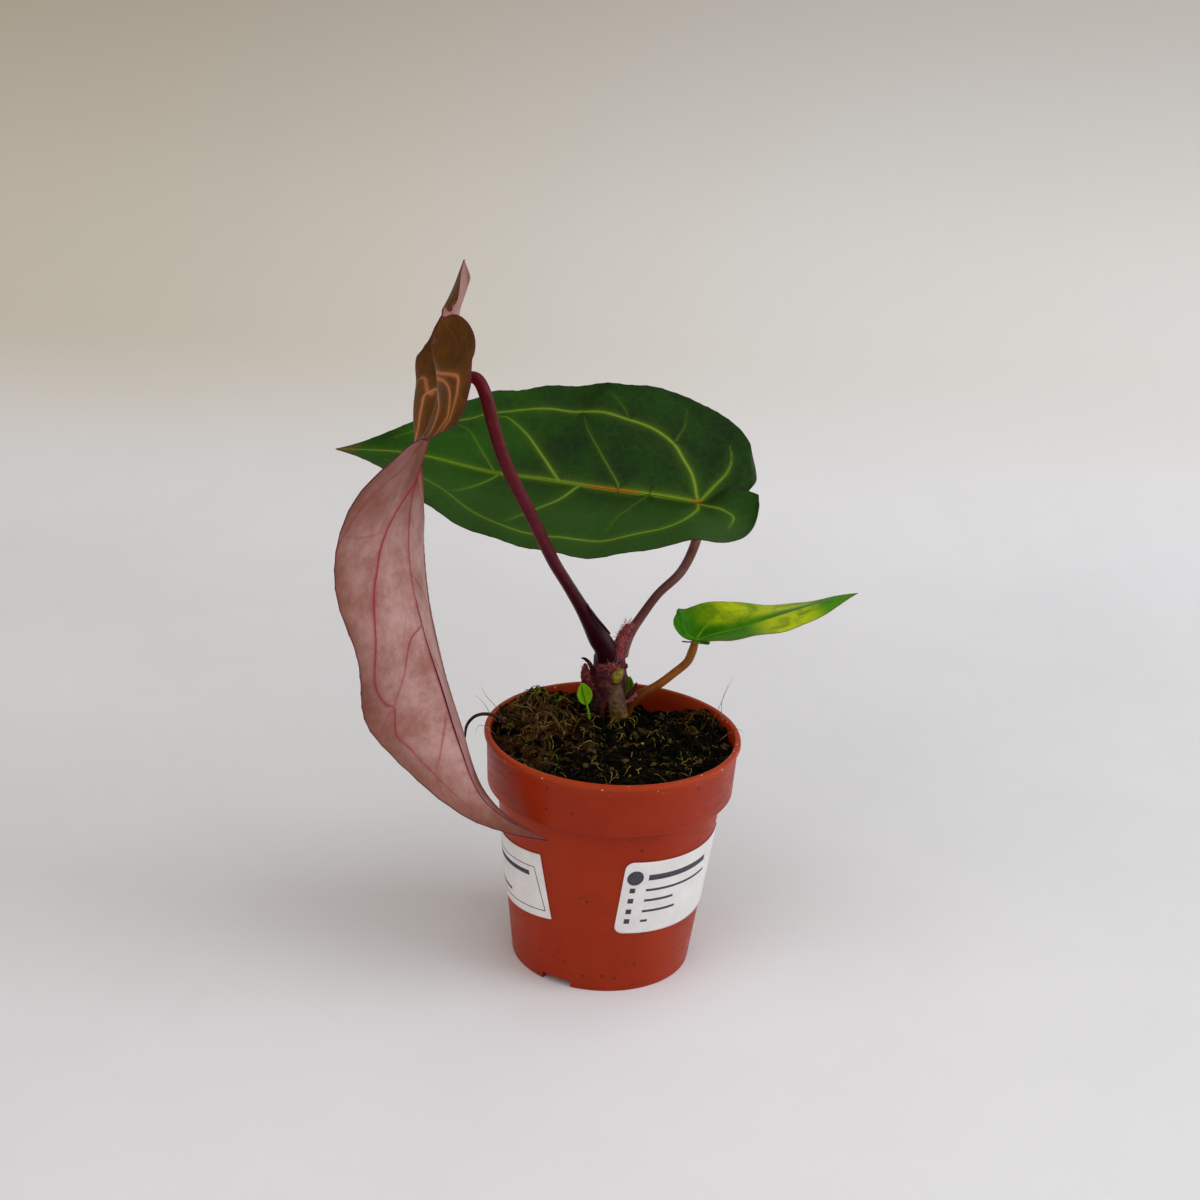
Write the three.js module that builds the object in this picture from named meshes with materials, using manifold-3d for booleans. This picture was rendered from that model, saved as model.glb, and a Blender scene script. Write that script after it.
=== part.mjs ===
// Potted anthurium hybrid: a nursery pot of peat with a young plant of three leaves.
// Millimetres, +Z up. The pieces are made round the pot's axis with the pot on z = 0, and
// are then moved so that the origin lies under the middle of the whole plant's box.
import * as THREE from 'three';
import Module from 'manifold-3d';

const wasm = await Module();
wasm.setup();

const MIDDLE_X = -13.46; // middle of the whole plant's box, seen from the pot's axis
const MIDDLE_Y = 15.55;
const CLEARANCE = 0.3; // left between pieces that touch on the real plant

// Pot
const POT_HEIGHT = 114;
const POT_SIDES = 36;
const RIM_RADIUS = 60;
const COLLAR_RADIUS = 57.2;
const COLLAR_Z = 88;
const BODY_TOP_RADIUS = 53.2;
const BASE_RADIUS = 42.5;
const FLOOR_Z = 5;
const FLOOR_UNDER_Z = 3.5;
const WALL = 1.4;
const NOTCH_WIDTH = 15;
const NOTCH_ANGLES = [242, 2, 122];
const DRAIN_RADIUS = 4;
const DRAIN_CIRCLE = 27;
const DRAIN_COUNT = 8;

// Soil
const SOIL_Z = 107.5;
const SOIL_RINGS = 8;
const CRUMB_COUNT = 26;

// Leaves
const BLADE_THICKNESS = 0.8;

// Labels
const LABEL_THICKNESS = 0.4;

// Helpers

const rad = THREE.MathUtils.degToRad;
const clamp = THREE.MathUtils.clamp;
const vec = (x, y, z) => new THREE.Vector3(x, y, z);
const vectors = (rows) => rows.map((row) => vec(row[0], row[1], row[2]));

// A closed body from points and index triples.
function solid(points, triangles) {
  const vertProperties = new Float32Array(points.flatMap((p) => [p.x, p.y, p.z]));
  const triVerts = new Uint32Array(triangles.flat());
  return new wasm.Manifold(new wasm.Mesh({ numProp: 3, vertProperties, triVerts }));
}

// The same sequence of draws on every run.
function seededRandom(seed) {
  let state = seed;
  return () => {
    state = (state * 16807) % 2147483647;
    return state / 2147483647;
  };
}

// Cubic curve through the values ys at the places xs.
function smooth(xs, ys, x) {
  const last = xs.length - 1;
  let i = 0;
  while (i < last - 1 && x >= xs[i + 1]) i += 1;
  const slope = (k) => {
    const a = Math.max(k - 1, 0);
    const b = Math.min(k + 1, last);
    return (ys[b] - ys[a]) / (xs[b] - xs[a]);
  };
  const h = xs[i + 1] - xs[i];
  const t = clamp((x - xs[i]) / h, 0, 1);
  const t2 = t * t;
  const t3 = t2 * t;
  return (2 * t3 - 3 * t2 + 1) * ys[i] + (t3 - 2 * t2 + t) * h * slope(i)
    + (3 * t2 - 2 * t3) * ys[i + 1] + (t3 - t2) * h * slope(i + 1);
}

// A profile of [radius, z] pairs that starts and ends on the axis, turned about it.
function revolve(profile, sides) {
  const points = [];
  const triangles = [];
  const rings = profile.slice(1, -1);
  for (const [r, z] of rings) {
    for (let k = 0; k < sides; k += 1) {
      const a = (2 * Math.PI * k) / sides;
      points.push(vec(r * Math.cos(a), r * Math.sin(a), z));
    }
  }
  const first = points.length;
  points.push(vec(0, 0, profile[0][1]));
  points.push(vec(0, 0, profile[profile.length - 1][1]));
  for (let k = 0; k < sides; k += 1) {
    const next = (k + 1) % sides;
    triangles.push([first, next, k]);
    for (let i = 0; i + 1 < rings.length; i += 1) {
      const low = i * sides;
      const high = low + sides;
      triangles.push([low + k, low + next, high + next]);
      triangles.push([low + k, high + next, high + k]);
    }
    const top = (rings.length - 1) * sides;
    triangles.push([first + 1, top + k, top + next]);
  }
  return solid(points, triangles);
}

// A round rod along a smooth path, with one radius for each point of the path.
function sweep(path, radii, sides, rings, bump = () => 1) {
  const curve = new THREE.CatmullRomCurve3(vectors(path), false, 'centripetal');
  const places = radii.map((_, i) => i / (radii.length - 1));
  const points = [];
  const triangles = [];
  const startTangent = curve.getTangent(0);
  const side = Math.abs(startTangent.y) < 0.8 ? vec(0, 1, 0) : vec(1, 0, 0);
  for (let i = 0; i <= rings; i += 1) {
    const t = i / rings;
    const centre = curve.getPoint(t);
    const tangent = curve.getTangent(t);
    side.addScaledVector(tangent, -side.dot(tangent)).normalize();
    const across = tangent.clone().cross(side);
    for (let k = 0; k < sides; k += 1) {
      const a = (2 * Math.PI * k) / sides;
      const r = smooth(places, radii, t) * bump(t, a);
      const offset = side.clone().multiplyScalar(r * Math.cos(a));
      offset.addScaledVector(across, r * Math.sin(a));
      points.push(centre.clone().add(offset));
    }
  }
  const base = points.length;
  points.push(curve.getPoint(0), curve.getPoint(1));
  for (let k = 0; k < sides; k += 1) {
    const next = (k + 1) % sides;
    triangles.push([base, next, k]);
    for (let i = 0; i < rings; i += 1) {
      const low = i * sides;
      const high = low + sides;
      triangles.push([low + k, low + next, high + next]);
      triangles.push([low + k, high + next, high + k]);
    }
    triangles.push([base + 1, rings * sides + k, rings * sides + next]);
  }
  return solid(points, triangles);
}

// A plate of even thickness on an open surface, both faces split alike.
function thicken(points, triangles, thickness) {
  const normals = points.map(() => vec(0, 0, 0));
  const edges = new Map();
  for (const tri of triangles) {
    const [a, b, c] = tri.map((i) => points[i]);
    const normal = b.clone().sub(a).cross(c.clone().sub(a));
    tri.forEach((i, k) => {
      normals[i].add(normal);
      edges.set(`${i}_${tri[(k + 1) % 3]}`, [i, tri[(k + 1) % 3]]);
    });
  }
  const shifted = (amount) => points.map((p, i) => {
    const step = normals[i].clone().normalize().multiplyScalar(amount);
    return p.clone().add(step);
  });
  const count = points.length;
  const all = [...shifted(thickness / 2), ...shifted(-thickness / 2)];
  const faces = [...triangles, ...triangles.map(([a, b, c]) => [a + count, c + count, b + count])];
  for (const [a, b] of edges.values()) {
    if (!edges.has(`${b}_${a}`)) {
      faces.push([b, a, a + count]);
      faces.push([b, a + count, b + count]);
    }
  }
  return solid(all, faces);
}

const union = (bodies) => bodies.reduce((sum, body) => sum.add(body));
const cut = (body, tools) => tools.reduce((rest, tool) => rest.subtract(tool), body);

// The largest connected piece of a body that was cut.
function largest(body) {
  return body.decompose().sort((a, b) => b.volume() - a.volume())[0];
}

const group = new THREE.Group();
group.name = 'potted_anthurium_hybrid';

function addPart(name, body, colour, roughness) {
  const { vertProperties, triVerts } = body.getMesh();
  const geometry = new THREE.BufferGeometry();
  geometry.setAttribute('position', new THREE.BufferAttribute(Float32Array.from(vertProperties), 3));
  geometry.setIndex(Array.from(triVerts));
  geometry.translate(-MIDDLE_X, -MIDDLE_Y, 0);
  geometry.computeVertexNormals();
  const material = new THREE.MeshStandardMaterial({ color: colour, roughness, metalness: 0 });
  const mesh = new THREE.Mesh(geometry, material);
  mesh.name = name;
  group.add(mesh);
}

// Leaf blades

// Places and folds of a blade along its midrib. Each row holds x, y, z, the fold and the
// curl of the half on the side of `side`, and the fold and the curl of the other half,
// in degrees. A fold lifts a half towards the upper face and a curl bends it on across.
// `grid` holds the steps behind and before the petiole and the steps across a half.
class Blade {
  constructor(spec) {
    Object.assign(this, spec);
    const places = vectors(this.rows);
    const lengths = [0];
    for (let i = 1; i < places.length; i += 1) {
      lengths.push(lengths[i - 1] + places[i].distanceTo(places[i - 1]));
    }
    this.xs = lengths.map((length) => length - lengths[this.petioleRow]);
    this.tip = this.xs[this.xs.length - 1];
    this.back = -this.xs[0];
  }

  column(k, x) {
    return smooth(this.xs, this.rows.map((row) => row[k]), x);
  }

  spine(x) {
    return vec(this.column(0, x), this.column(1, x), this.column(2, x));
  }

  // Distance of the outer margin from the midrib.
  outer(x, half) {
    const xs = this.outline.map((pair) => pair[0] * this.tip);
    const ys = this.outline.map((pair) => pair[1] * this.width);
    const widest = smooth(xs, ys, Math.max(x, this.lobeX));
    if (x >= this.lobeX) return Math.max(widest, 0.5);
    const k = (this.lobeX - x) / (this.lobeX + this.back);
    const centre = this.lobeY[half > 0 ? 0 : 1];
    return centre + (widest - centre) * Math.sqrt(1 - k * k);
  }

  // Distance of the inner margin of a lobe, which is 0 along the midrib.
  inner(x, half) {
    if (x >= 0) return 0;
    const k = -x / this.back;
    const centre = this.lobeY[half > 0 ? 0 : 1];
    const over = half > 0 ? this.overlap * Math.sin(Math.PI * k) : 0;
    return centre * (1 - Math.sqrt(1 - k * k)) - over;
  }

  // A point of the blade: x along the midrib, f from 0 inside to 1 at the outer margin.
  point(x, f, half, grow = 0) {
    const e = 0.5;
    const ahead = this.spine(Math.min(x + e, this.tip));
    const tangent = ahead.sub(this.spine(Math.max(x - e, -this.back))).normalize();
    const across = this.side.clone().addScaledVector(tangent, -this.side.dot(tangent)).normalize();
    const up = tangent.clone().cross(across);
    const width = this.outer(x, half);
    const start = this.inner(x, half) - (x < 0 ? grow : 0);
    const y = start + (width + grow - start) * f;
    const fold = rad(this.column(half > 0 ? 3 : 5, x));
    const curl = rad(this.column(half > 0 ? 4 : 6, x)) / Math.max(width, this.width * 0.15);
    const angle = fold + curl * y;
    const flat = Math.abs(curl) < 1e-6;
    let a = flat ? y * Math.cos(fold) : (Math.sin(angle) - Math.sin(fold)) / curl;
    let b = flat ? y * Math.sin(fold) : (Math.cos(fold) - Math.cos(angle)) / curl;
    if (half > 0 && x < 0) {
      const u = clamp(-x / 14, 0, 1);
      const v = clamp(1 - y / 40, 0, 1.2);
      b += this.lift * u * u * (3 - 2 * u) * v * v;
    }
    const [height, length, phase] = this.ripple;
    const turn = (2 * Math.PI * x) / length + phase + (half > 0 ? 0 : 1.3);
    const wave = height * (y / this.width) ** 2 * Math.sin(turn);
    a -= wave * Math.sin(angle);
    b += wave * Math.cos(angle);
    const place = this.spine(x).addScaledVector(across, half * a).addScaledVector(up, b);
    if (half < 0 && this.pinch) this.gather(place);
    return place;
  }

  // The top of the far lobe is drawn together towards a line and a little down.
  gather(place) {
    const { line, low, high, share, drop } = this.pinch;
    const height = clamp((place.z - low) / (high - low), 0, 1);
    place.x += share * height ** 1.5 * (line - place.x);
    place.z -= drop * height ** 6;
  }

  // Places along the midrib, close together at both ends, with one at the petiole.
  stations(backSteps, frontSteps) {
    const edge = 0.4;
    const back = [];
    for (let i = 0; i < backSteps; i += 1) {
      back.push(-(this.back - edge) * Math.cos((Math.PI / 2) * (i / backSteps)));
    }
    const front = [];
    for (let i = 0; i <= frontSteps; i += 1) {
      const t = i / frontSteps;
      front.push((this.tip - edge) * (0.6 * t + 0.4 * Math.sin((Math.PI / 2) * t)));
    }
    return [...back, ...front];
  }

  // The whole blade. Its two lobes are apart and meet only where the petiole joins.
  body(thickness = BLADE_THICKNESS) {
    const [backSteps, frontSteps, rows] = this.grid;
    const xs = this.stations(backSteps, frontSteps);
    const points = [];
    const triangles = [];
    const index = new Map();
    const at = (i, j, half) => {
      const shared = j === 0 && i >= backSteps;
      const key = `${i}_${j}_${shared ? 0 : half}`;
      if (!index.has(key)) {
        index.set(key, points.length);
        points.push(this.point(xs[i], j / rows, half));
      }
      return index.get(key);
    };
    for (const half of [1, -1]) {
      for (let i = 0; i + 1 < xs.length; i += 1) {
        for (let j = 0; j < rows; j += 1) {
          const quad = [at(i, j, half), at(i + 1, j, half), at(i + 1, j + 1, half), at(i, j + 1, half)];
          if (half < 0) quad.reverse();
          triangles.push([quad[0], quad[1], quad[2]], [quad[0], quad[2], quad[3]]);
        }
      }
    }
    return thicken(points, triangles, thickness);
  }

  // One half made larger on every side, to cut the petiole's end clear of the blade.
  cutter(half, grow) {
    const [backSteps, frontSteps, rows] = this.grid;
    const xs = this.stations(backSteps, frontSteps);
    const points = [];
    const triangles = [];
    for (const x of xs) {
      for (let j = 0; j <= rows; j += 1) points.push(this.point(x, j / rows, half, grow));
    }
    for (let i = 0; i + 1 < xs.length; i += 1) {
      for (let j = 0; j < rows; j += 1) {
        const a = i * (rows + 1) + j;
        const quad = [a, a + rows + 1, a + rows + 2, a + 1];
        if (half < 0) quad.reverse();
        triangles.push([quad[0], quad[1], quad[2]], [quad[0], quad[2], quad[3]]);
      }
    }
    return thicken(points, triangles, BLADE_THICKNESS + 2 * grow);
  }

  // A vein along pairs of midrib place and share of the half width, sunk in the lower face.
  vein(pairs, half, radii, rings) {
    const path = pairs.map(([x, f]) => {
      const p = this.point(x, f, half);
      const alongX = this.point(x + 0.5, f, half).sub(p);
      const alongF = this.point(x, f + 0.02, half).sub(p);
      const up = alongX.cross(alongF).multiplyScalar(half).normalize();
      return p.addScaledVector(up, -BLADE_THICKNESS / 2).toArray();
    });
    return sweep(path, radii, 4, rings);
  }
}

const tall = new Blade({
  rows: [
    [-93, -35, 310, 16, -128, -158, 79],
    [-86, -29, 305, 24, -104, -46, 28],
    [-81, -23, 284, 19, -61, -38, 112],
    [-84, -22, 268, 12, -25, 36, -35],
    [-89, -24, 255, 5, 12, 31, -60],
    [-95, -29, 228, 13, 35, -26, 56],
    [-94, -32, 200, 21, 46, -20, 44],
    [-87, -36, 172, 25, 35, -8, 20],
    [-78, -39, 147, 49, 36, 2, 12],
    [-69, -43, 122, 48, 35, -2, 12],
    [-59, -47, 100, 31, -5, -3, 20],
    [-46, -49, 89, 25, -9, -3, 27],
    [-27, -51, 81, 19, 4, 0, 10],
  ],
  petioleRow: 2,
  grid: [6, 23, 4],
  side: vec(0, -1, 0),
  width: 46,
  lobeX: 4,
  lobeY: [18, 22],
  overlap: 0,
  lift: 0,
  ripple: [1.4, 58, 0.6],
  pinch: { line: -74.8, low: 303, high: 338, share: 0.95, drop: 3 },
  outline: [[0, 0.98], [0.12, 1], [0.29, 0.95], [0.42, 0.88], [0.53, 0.8], [0.64, 0.79],
    [0.74, 0.57], [0.82, 0.39], [0.9, 0.19], [1, 0]],
});

const mid = new Blade({
  rows: [
    [62, 47, 212, -17, 31, 29, -10],
    [58, 47, 212, -16, 25, 37, -8],
    [35, 47, 213, 3, -4, 40, -8],
    [18, 47, 215, -3, -2, 43, -7],
    [-11, 48, 217, -11, -5, 42, -4],
    [-36, 50, 219, -12, -4, 37, -6],
    [-62, 53, 220, -11, -4, 37, -6],
    [-79, 56, 222, -8, -3, 36, -2],
    [-93, 59, 224, -11, 0, 32, 4],
    [-111, 62, 225, -11, 2, 25, 2],
    [-140, 67, 223, -10, 0, 14, 2],
  ],
  petioleRow: 2,
  grid: [6, 21, 4],
  side: vec(0, -1, 0),
  width: 63,
  lobeX: 4,
  lobeY: [3, 21],
  overlap: 0.4,
  lift: 9,
  ripple: [0.7, 27, 0],
  outline: [[0, 0.9], [0.1, 0.96], [0.27, 0.97], [0.41, 0.95], [0.55, 0.85], [0.66, 0.74],
    [0.74, 0.52], [0.85, 0.27], [0.93, 0.11], [1, 0]],
});

const low = new Blade({
  rows: [
    [28, 27, 150, 35, 0, 24, 0],
    [32, 28, 150, 33, 0, 20, 0],
    [37, 30, 150, 31, 0, 16, 0],
    [46, 32, 153, 25, 0, 12, 0],
    [58, 34, 156, 17, 0, 8, 0],
    [76, 38, 162, -3, 0, -1, 0],
    [95, 42, 168, -14, 0, -3, 0],
    [113, 45, 173, -5, 0, -5, 0],
  ],
  petioleRow: 2,
  grid: [4, 13, 3],
  side: vec(0, 1, 0),
  width: 22,
  lobeX: 2,
  lobeY: [10, 10],
  overlap: 0,
  lift: 0,
  ripple: [0.4, 24, 0],
  outline: [[0, 0.9], [0.15, 1], [0.35, 1], [0.6, 0.88], [0.75, 0.65], [0.85, 0.4], [0.93, 0.17],
    [1, 0]],
});

// Midrib and the two strong veins that run round towards the tip.
function veins(blade, scale) {
  const { tip } = blade;
  const ribPlaces = [3, tip * 0.15, tip * 0.35, tip * 0.55, tip * 0.75, tip * 0.92];
  const rib = ribPlaces.map((x) => [x, 0]);
  const ribRadii = [1.3, 1.25, 1.1, 0.9, 0.7, 0.5].map((r) => r * scale);
  const bow = [[2, 0.05], [tip * 0.06, 0.34], [tip * 0.16, 0.56], [tip * 0.3, 0.66],
    [tip * 0.45, 0.67], [tip * 0.6, 0.6], [tip * 0.72, 0.5]];
  const bowRadii = [1, 0.95, 0.85, 0.75, 0.65, 0.55, 0.45].map((r) => r * scale);
  return [
    blade.vein(rib, 1, ribRadii, 12),
    blade.vein(bow, 1, bowRadii, 9),
    blade.vein(bow, -1, bowRadii, 9),
  ];
}

const tallBlade = union([tall.body(), ...veins(tall, 1)]);
const midBlade = union([mid.body(), ...veins(mid, 1)]);
const lowBlade = union([low.body(), ...veins(low, 0.7)]);

// Stem and petioles

const STEM_PATH = [
  [-1, 30, 96], [-1, 30, 106], [-1.5, 30, 114], [-2.2, 30, 121], [-3, 30, 128],
  [-3.2, 30, 135], [-3, 30, 141], [-2.8, 30, 144],
];
const STEM_RADII = [4.6, 5.4, 6.2, 7.2, 7.9, 7.7, 6.9, 4.4];

// Each petiole has a path from its root to the blade, with a radius for each point.
const PETIOLES = {
  tall: {
    path: [
      [-4.6, 27, 136], [-5.8, 25, 145], [-9, 19, 152.5], [-13, 13, 162], [-17.6, 6.5, 172],
      [-24.4, -4.6, 187], [-31.4, -15, 202], [-42.6, -27, 228.5], [-53.1, -32, 250.5],
      [-59.5, -33, 269], [-63, -32.6, 281], [-67, -30, 287], [-73, -26, 286], [-80.5, -23, 283],
    ],
    radii: [4.4, 5.2, 5, 4.2, 3.3, 2.8, 2.8, 2.8, 2.8, 2.8, 2.8, 2.7, 2.5, 2.4],
  },
  mid: {
    path: [
      [2.6, 34.5, 137], [3.4, 35, 143], [5.7, 36, 149.3], [9.2, 38, 155], [17.9, 41, 168],
      [27.7, 43, 178.6], [33, 44.5, 190], [35.4, 46, 202], [34.4, 47, 213],
    ],
    radii: [2.8, 2.9, 2.6, 2.3, 2.1, 2.2, 2.3, 2.4, 2.4],
  },
  low: {
    path: [
      [5, 32.4, 100], [6, 32.3, 108], [8, 32, 114.7], [12.3, 32, 119.2], [20.5, 31, 125.4],
      [28, 31, 132.3], [33.6, 31, 138.1], [35.6, 31, 143.4], [37, 30.2, 150],
    ],
    radii: [2.3, 2.5, 2.6, 2.3, 2.1, 2, 2, 2.1, 2.1],
  },
};

const PETIOLE_SIDES = 9;

function petioleBody(petiole, grow) {
  const rings = Math.round(1.6 * (petiole.path.length - 1));
  return sweep(petiole.path, petiole.radii.map((r) => r + grow), PETIOLE_SIDES, rings);
}

function trimmedPetiole(petiole, blade, bladeVeins) {
  const thick = blade.body(BLADE_THICKNESS + 2 * CLEARANCE);
  const tools = [thick, blade.cutter(1, CLEARANCE), blade.cutter(-1, CLEARANCE), ...bladeVeins];
  return largest(cut(petioleBody(petiole, 0), tools));
}

// The veins made thicker by the clearance, close to the petiole.
const grownVeins = (blade, scale) => veins(blade, scale + CLEARANCE);

const tallPetiole = trimmedPetiole(PETIOLES.tall, tall, grownVeins(tall, 1));
const midPetiole = trimmedPetiole(PETIOLES.mid, mid, grownVeins(mid, 1));
const lowPetiole = trimmedPetiole(PETIOLES.low, low, grownVeins(low, 0.7));

// Low knobs on the short thick stem.
const stemKnobs = (t, a) => 1 + 0.05 * Math.sin(3 * a + 9 * t) + 0.04 * Math.sin(5 * a - 14 * t);

// What grew on the stem: a root leg, the scar of a lost leaf, a bud with its dark hook, a
// fuzzy scrap of sheath by the petioles, and a spike with a knob at the low petiole.
const STEM_PARTS = [
  { path: [[0, 26, 127], [1, 23, 121], [2.4, 21.6, 114], [3.4, 20.8, 106], [3.6, 20.6, 100]],
    radii: [2.5, 3.9, 4.2, 3.7, 3], sides: 7, rings: 5 },
  { path: [[-6, 28, 122], [-8, 26, 117], [-9, 25.5, 110], [-9.4, 25, 101]],
    radii: [2.6, 2.9, 2.6, 2], sides: 6, rings: 4 },
  { path: [[0.6, 28, 131.6], [0.6, 21.2, 132.2]], radii: [2.6, 2.3], sides: 9, rings: 1 },
  { path: [[-8, 28, 121.5], [-12, 26, 124.5], [-13.6, 25.6, 129], [-14.6, 25.4, 134],
    [-15, 25.4, 137]],
    radii: [2, 2.9, 2.8, 1.8, 0.5], sides: 7, rings: 5 },
  { path: [[-9.5, 26.5, 124], [-10.6, 26, 131], [-12.4, 25.4, 136.4], [-15, 25, 139.2],
    [-17, 24.8, 139.6]],
    radii: [1, 1.2, 1, 0.7, 0.35], sides: 5, rings: 6 },
  { path: [[0, 29, 138], [0.4, 28.4, 144], [1.4, 29, 148.5], [3, 30.2, 152], [5, 32, 155.4]],
    radii: [2.4, 2.6, 2.3, 1.8, 0.8], sides: 7, rings: 5 },
  { path: [[2, 27.5, 118], [6, 26, 120], [8.4, 25.8, 123.5], [10.4, 26, 128.4]],
    radii: [1.7, 1.4, 1.1, 0.4], sides: 5, rings: 4 },
  { path: [[2, 27.5, 117], [7, 26.4, 119.6], [10.4, 26.2, 122.6]],
    radii: [2.2, 2, 1.1], sides: 6, rings: 3 },
];

const stemTools = [PETIOLES.tall, PETIOLES.mid, PETIOLES.low]
  .map((petiole) => petioleBody(petiole, CLEARANCE));

function stemBody(grow) {
  const core = sweep(STEM_PATH, STEM_RADII.map((r) => r + grow), 12, 12, stemKnobs);
  const parts = STEM_PARTS.map((part) => (
    sweep(part.path, part.radii.map((r) => r + grow), part.sides, part.rings)
  ));
  return union([core, ...parts]);
}

const stem = largest(cut(stemBody(0), stemTools));

// Seedlings

// A small thin leaf on a stalk that stands in the soil.
function seedling(path, leafFrom, halfWidth, facing) {
  const stalk = sweep(path, [0.7, 0.65, 0.6, 0.5], 6, 6);
  const curve = new THREE.CatmullRomCurve3(vectors(path), false, 'centripetal');
  const steps = 8;
  const points = [];
  const triangles = [];
  for (let i = 0; i <= steps; i += 1) {
    const t = i / steps;
    const centre = curve.getPoint(leafFrom + (1 - leafFrom) * t);
    const tangent = curve.getTangent(leafFrom + (1 - leafFrom) * t);
    const across = facing.clone().cross(tangent).normalize();
    const half = 0.35 + (halfWidth - 0.35) * Math.sin(Math.PI * t ** 0.85) ** 0.7;
    const sag = facing.clone().multiplyScalar(-0.12 * half);
    points.push(centre.clone().addScaledVector(across, -half).sub(sag));
    points.push(centre.clone().add(sag));
    points.push(centre.clone().addScaledVector(across, half).sub(sag));
  }
  for (let i = 0; i < steps; i += 1) {
    for (let j = 0; j < 2; j += 1) {
      const a = 3 * i + j;
      triangles.push([a, a + 1, a + 4], [a, a + 4, a + 3]);
    }
  }
  return stalk.add(thicken(points, triangles, 0.7));
}

const SEEDLING_LEFT = [[-11, 20, 101], [-11.4, 20, 111], [-12.6, 19.6, 117], [-15.6, 19, 128.6]];
const SEEDLING_RIGHT = [[5.1, 41, 101], [5.1, 41, 108], [5.6, 40.6, 113.5], [6.8, 40, 124.6]];
const seedlingLeft = seedling(SEEDLING_LEFT, 0.62, 3.5, vec(0.2, -1, 0.3).normalize());
const seedlingRight = seedling(SEEDLING_RIGHT, 0.62, 3.1, vec(-0.4, -1, 0.2).normalize());

// Pot

const innerBody = BODY_TOP_RADIUS - WALL;
const potProfile = [
  [0, FLOOR_UNDER_Z],
  [BASE_RADIUS - 3.3, FLOOR_UNDER_Z],
  [BASE_RADIUS - 2.9, 0],
  [BASE_RADIUS - 0.4, 0],
  [BASE_RADIUS, 0.6],
  [BODY_TOP_RADIUS - 0.1, COLLAR_Z - 0.6],
  [BODY_TOP_RADIUS, COLLAR_Z],
  [COLLAR_RADIUS, COLLAR_Z],
  [COLLAR_RADIUS + 0.4, COLLAR_Z + 0.6],
  [RIM_RADIUS - 1.3, POT_HEIGHT - 3.2],
  [RIM_RADIUS - 0.3, POT_HEIGHT - 2.5],
  [RIM_RADIUS, POT_HEIGHT - 1.7],
  [RIM_RADIUS - 0.2, POT_HEIGHT - 0.6],
  [RIM_RADIUS - 0.9, POT_HEIGHT],
  [RIM_RADIUS - 2.4, POT_HEIGHT],
  [RIM_RADIUS - 2.9, POT_HEIGHT - 0.6],
  [COLLAR_RADIUS - 1.2, COLLAR_Z + 2.4],
  [COLLAR_RADIUS - 1.8, COLLAR_Z + 1.7],
  [innerBody + 0.4, COLLAR_Z + 1.6],
  [innerBody, COLLAR_Z + 1],
  [BASE_RADIUS - 1.5, FLOOR_Z + 0.6],
  [BASE_RADIUS - 2.1, FLOOR_Z],
  [0, FLOOR_Z],
];

// An upright post with flat ends, for cuts.
function post(x, y, radius, zLow, zHigh, sides) {
  return sweep([[x, y, zLow], [x, y, zHigh]], [radius, radius], sides, 1);
}

// A block that notches the foot ring.
function notchBlock(angle) {
  const inner = BASE_RADIUS - 6;
  const outer = BASE_RADIUS + 4;
  const half = NOTCH_WIDTH / 2;
  const corners = [[inner, -half], [outer, -half], [outer, half], [inner, half]];
  const points = [];
  for (const z of [-2, FLOOR_UNDER_Z]) {
    for (const [x, y] of corners) {
      points.push(vec(x, y, z).applyAxisAngle(vec(0, 0, 1), rad(angle)));
    }
  }
  const faces = [[0, 2, 1], [0, 3, 2], [4, 5, 6], [4, 6, 7]];
  for (let k = 0; k < 4; k += 1) {
    const next = (k + 1) % 4;
    faces.push([k, next, next + 4], [k, next + 4, k + 4]);
  }
  return solid(points, faces);
}

const potTools = NOTCH_ANGLES.map(notchBlock);
potTools.push(post(0, 0, DRAIN_RADIUS, FLOOR_UNDER_Z - 2, FLOOR_Z + 2, 10));
for (let i = 0; i < DRAIN_COUNT; i += 1) {
  const a = (2 * Math.PI * (i + 0.5)) / DRAIN_COUNT;
  const x = DRAIN_CIRCLE * Math.cos(a);
  const y = DRAIN_CIRCLE * Math.sin(a);
  potTools.push(post(x, y, DRAIN_RADIUS, FLOOR_UNDER_Z - 2, FLOOR_Z + 2, 8));
}
const pot = cut(revolve(potProfile, POT_SIDES), potTools);

// Soil

const bell = (x, y, cx, cy, size) => Math.exp(-((x - cx) ** 2 + (y - cy) ** 2) / (2 * size * size));

function soilHeight(x, y) {
  const mound = 8.5 * bell(x, y, -40, 28, 15) + 4 * bell(x, y, -48, -2, 12)
    + 3 * bell(x, y, 0, 20, 10) + 3.5 * bell(x, y, 46, 30, 12);
  const front = 3.5 * clamp((-y - 10) / 35, 0, 1);
  const hollow = -6.5 * bell(x, y, 16, 50, 12);
  const lumps = 0.9 * Math.sin(0.31 * x + 1.7) * Math.sin(0.27 * y + 0.4)
    + 0.7 * Math.sin(0.53 * x - 0.47 * y) + 0.5 * Math.sin(0.8 * y + 0.35 * x + 2);
  return SOIL_Z + mound + front + hollow + lumps;
}

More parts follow.
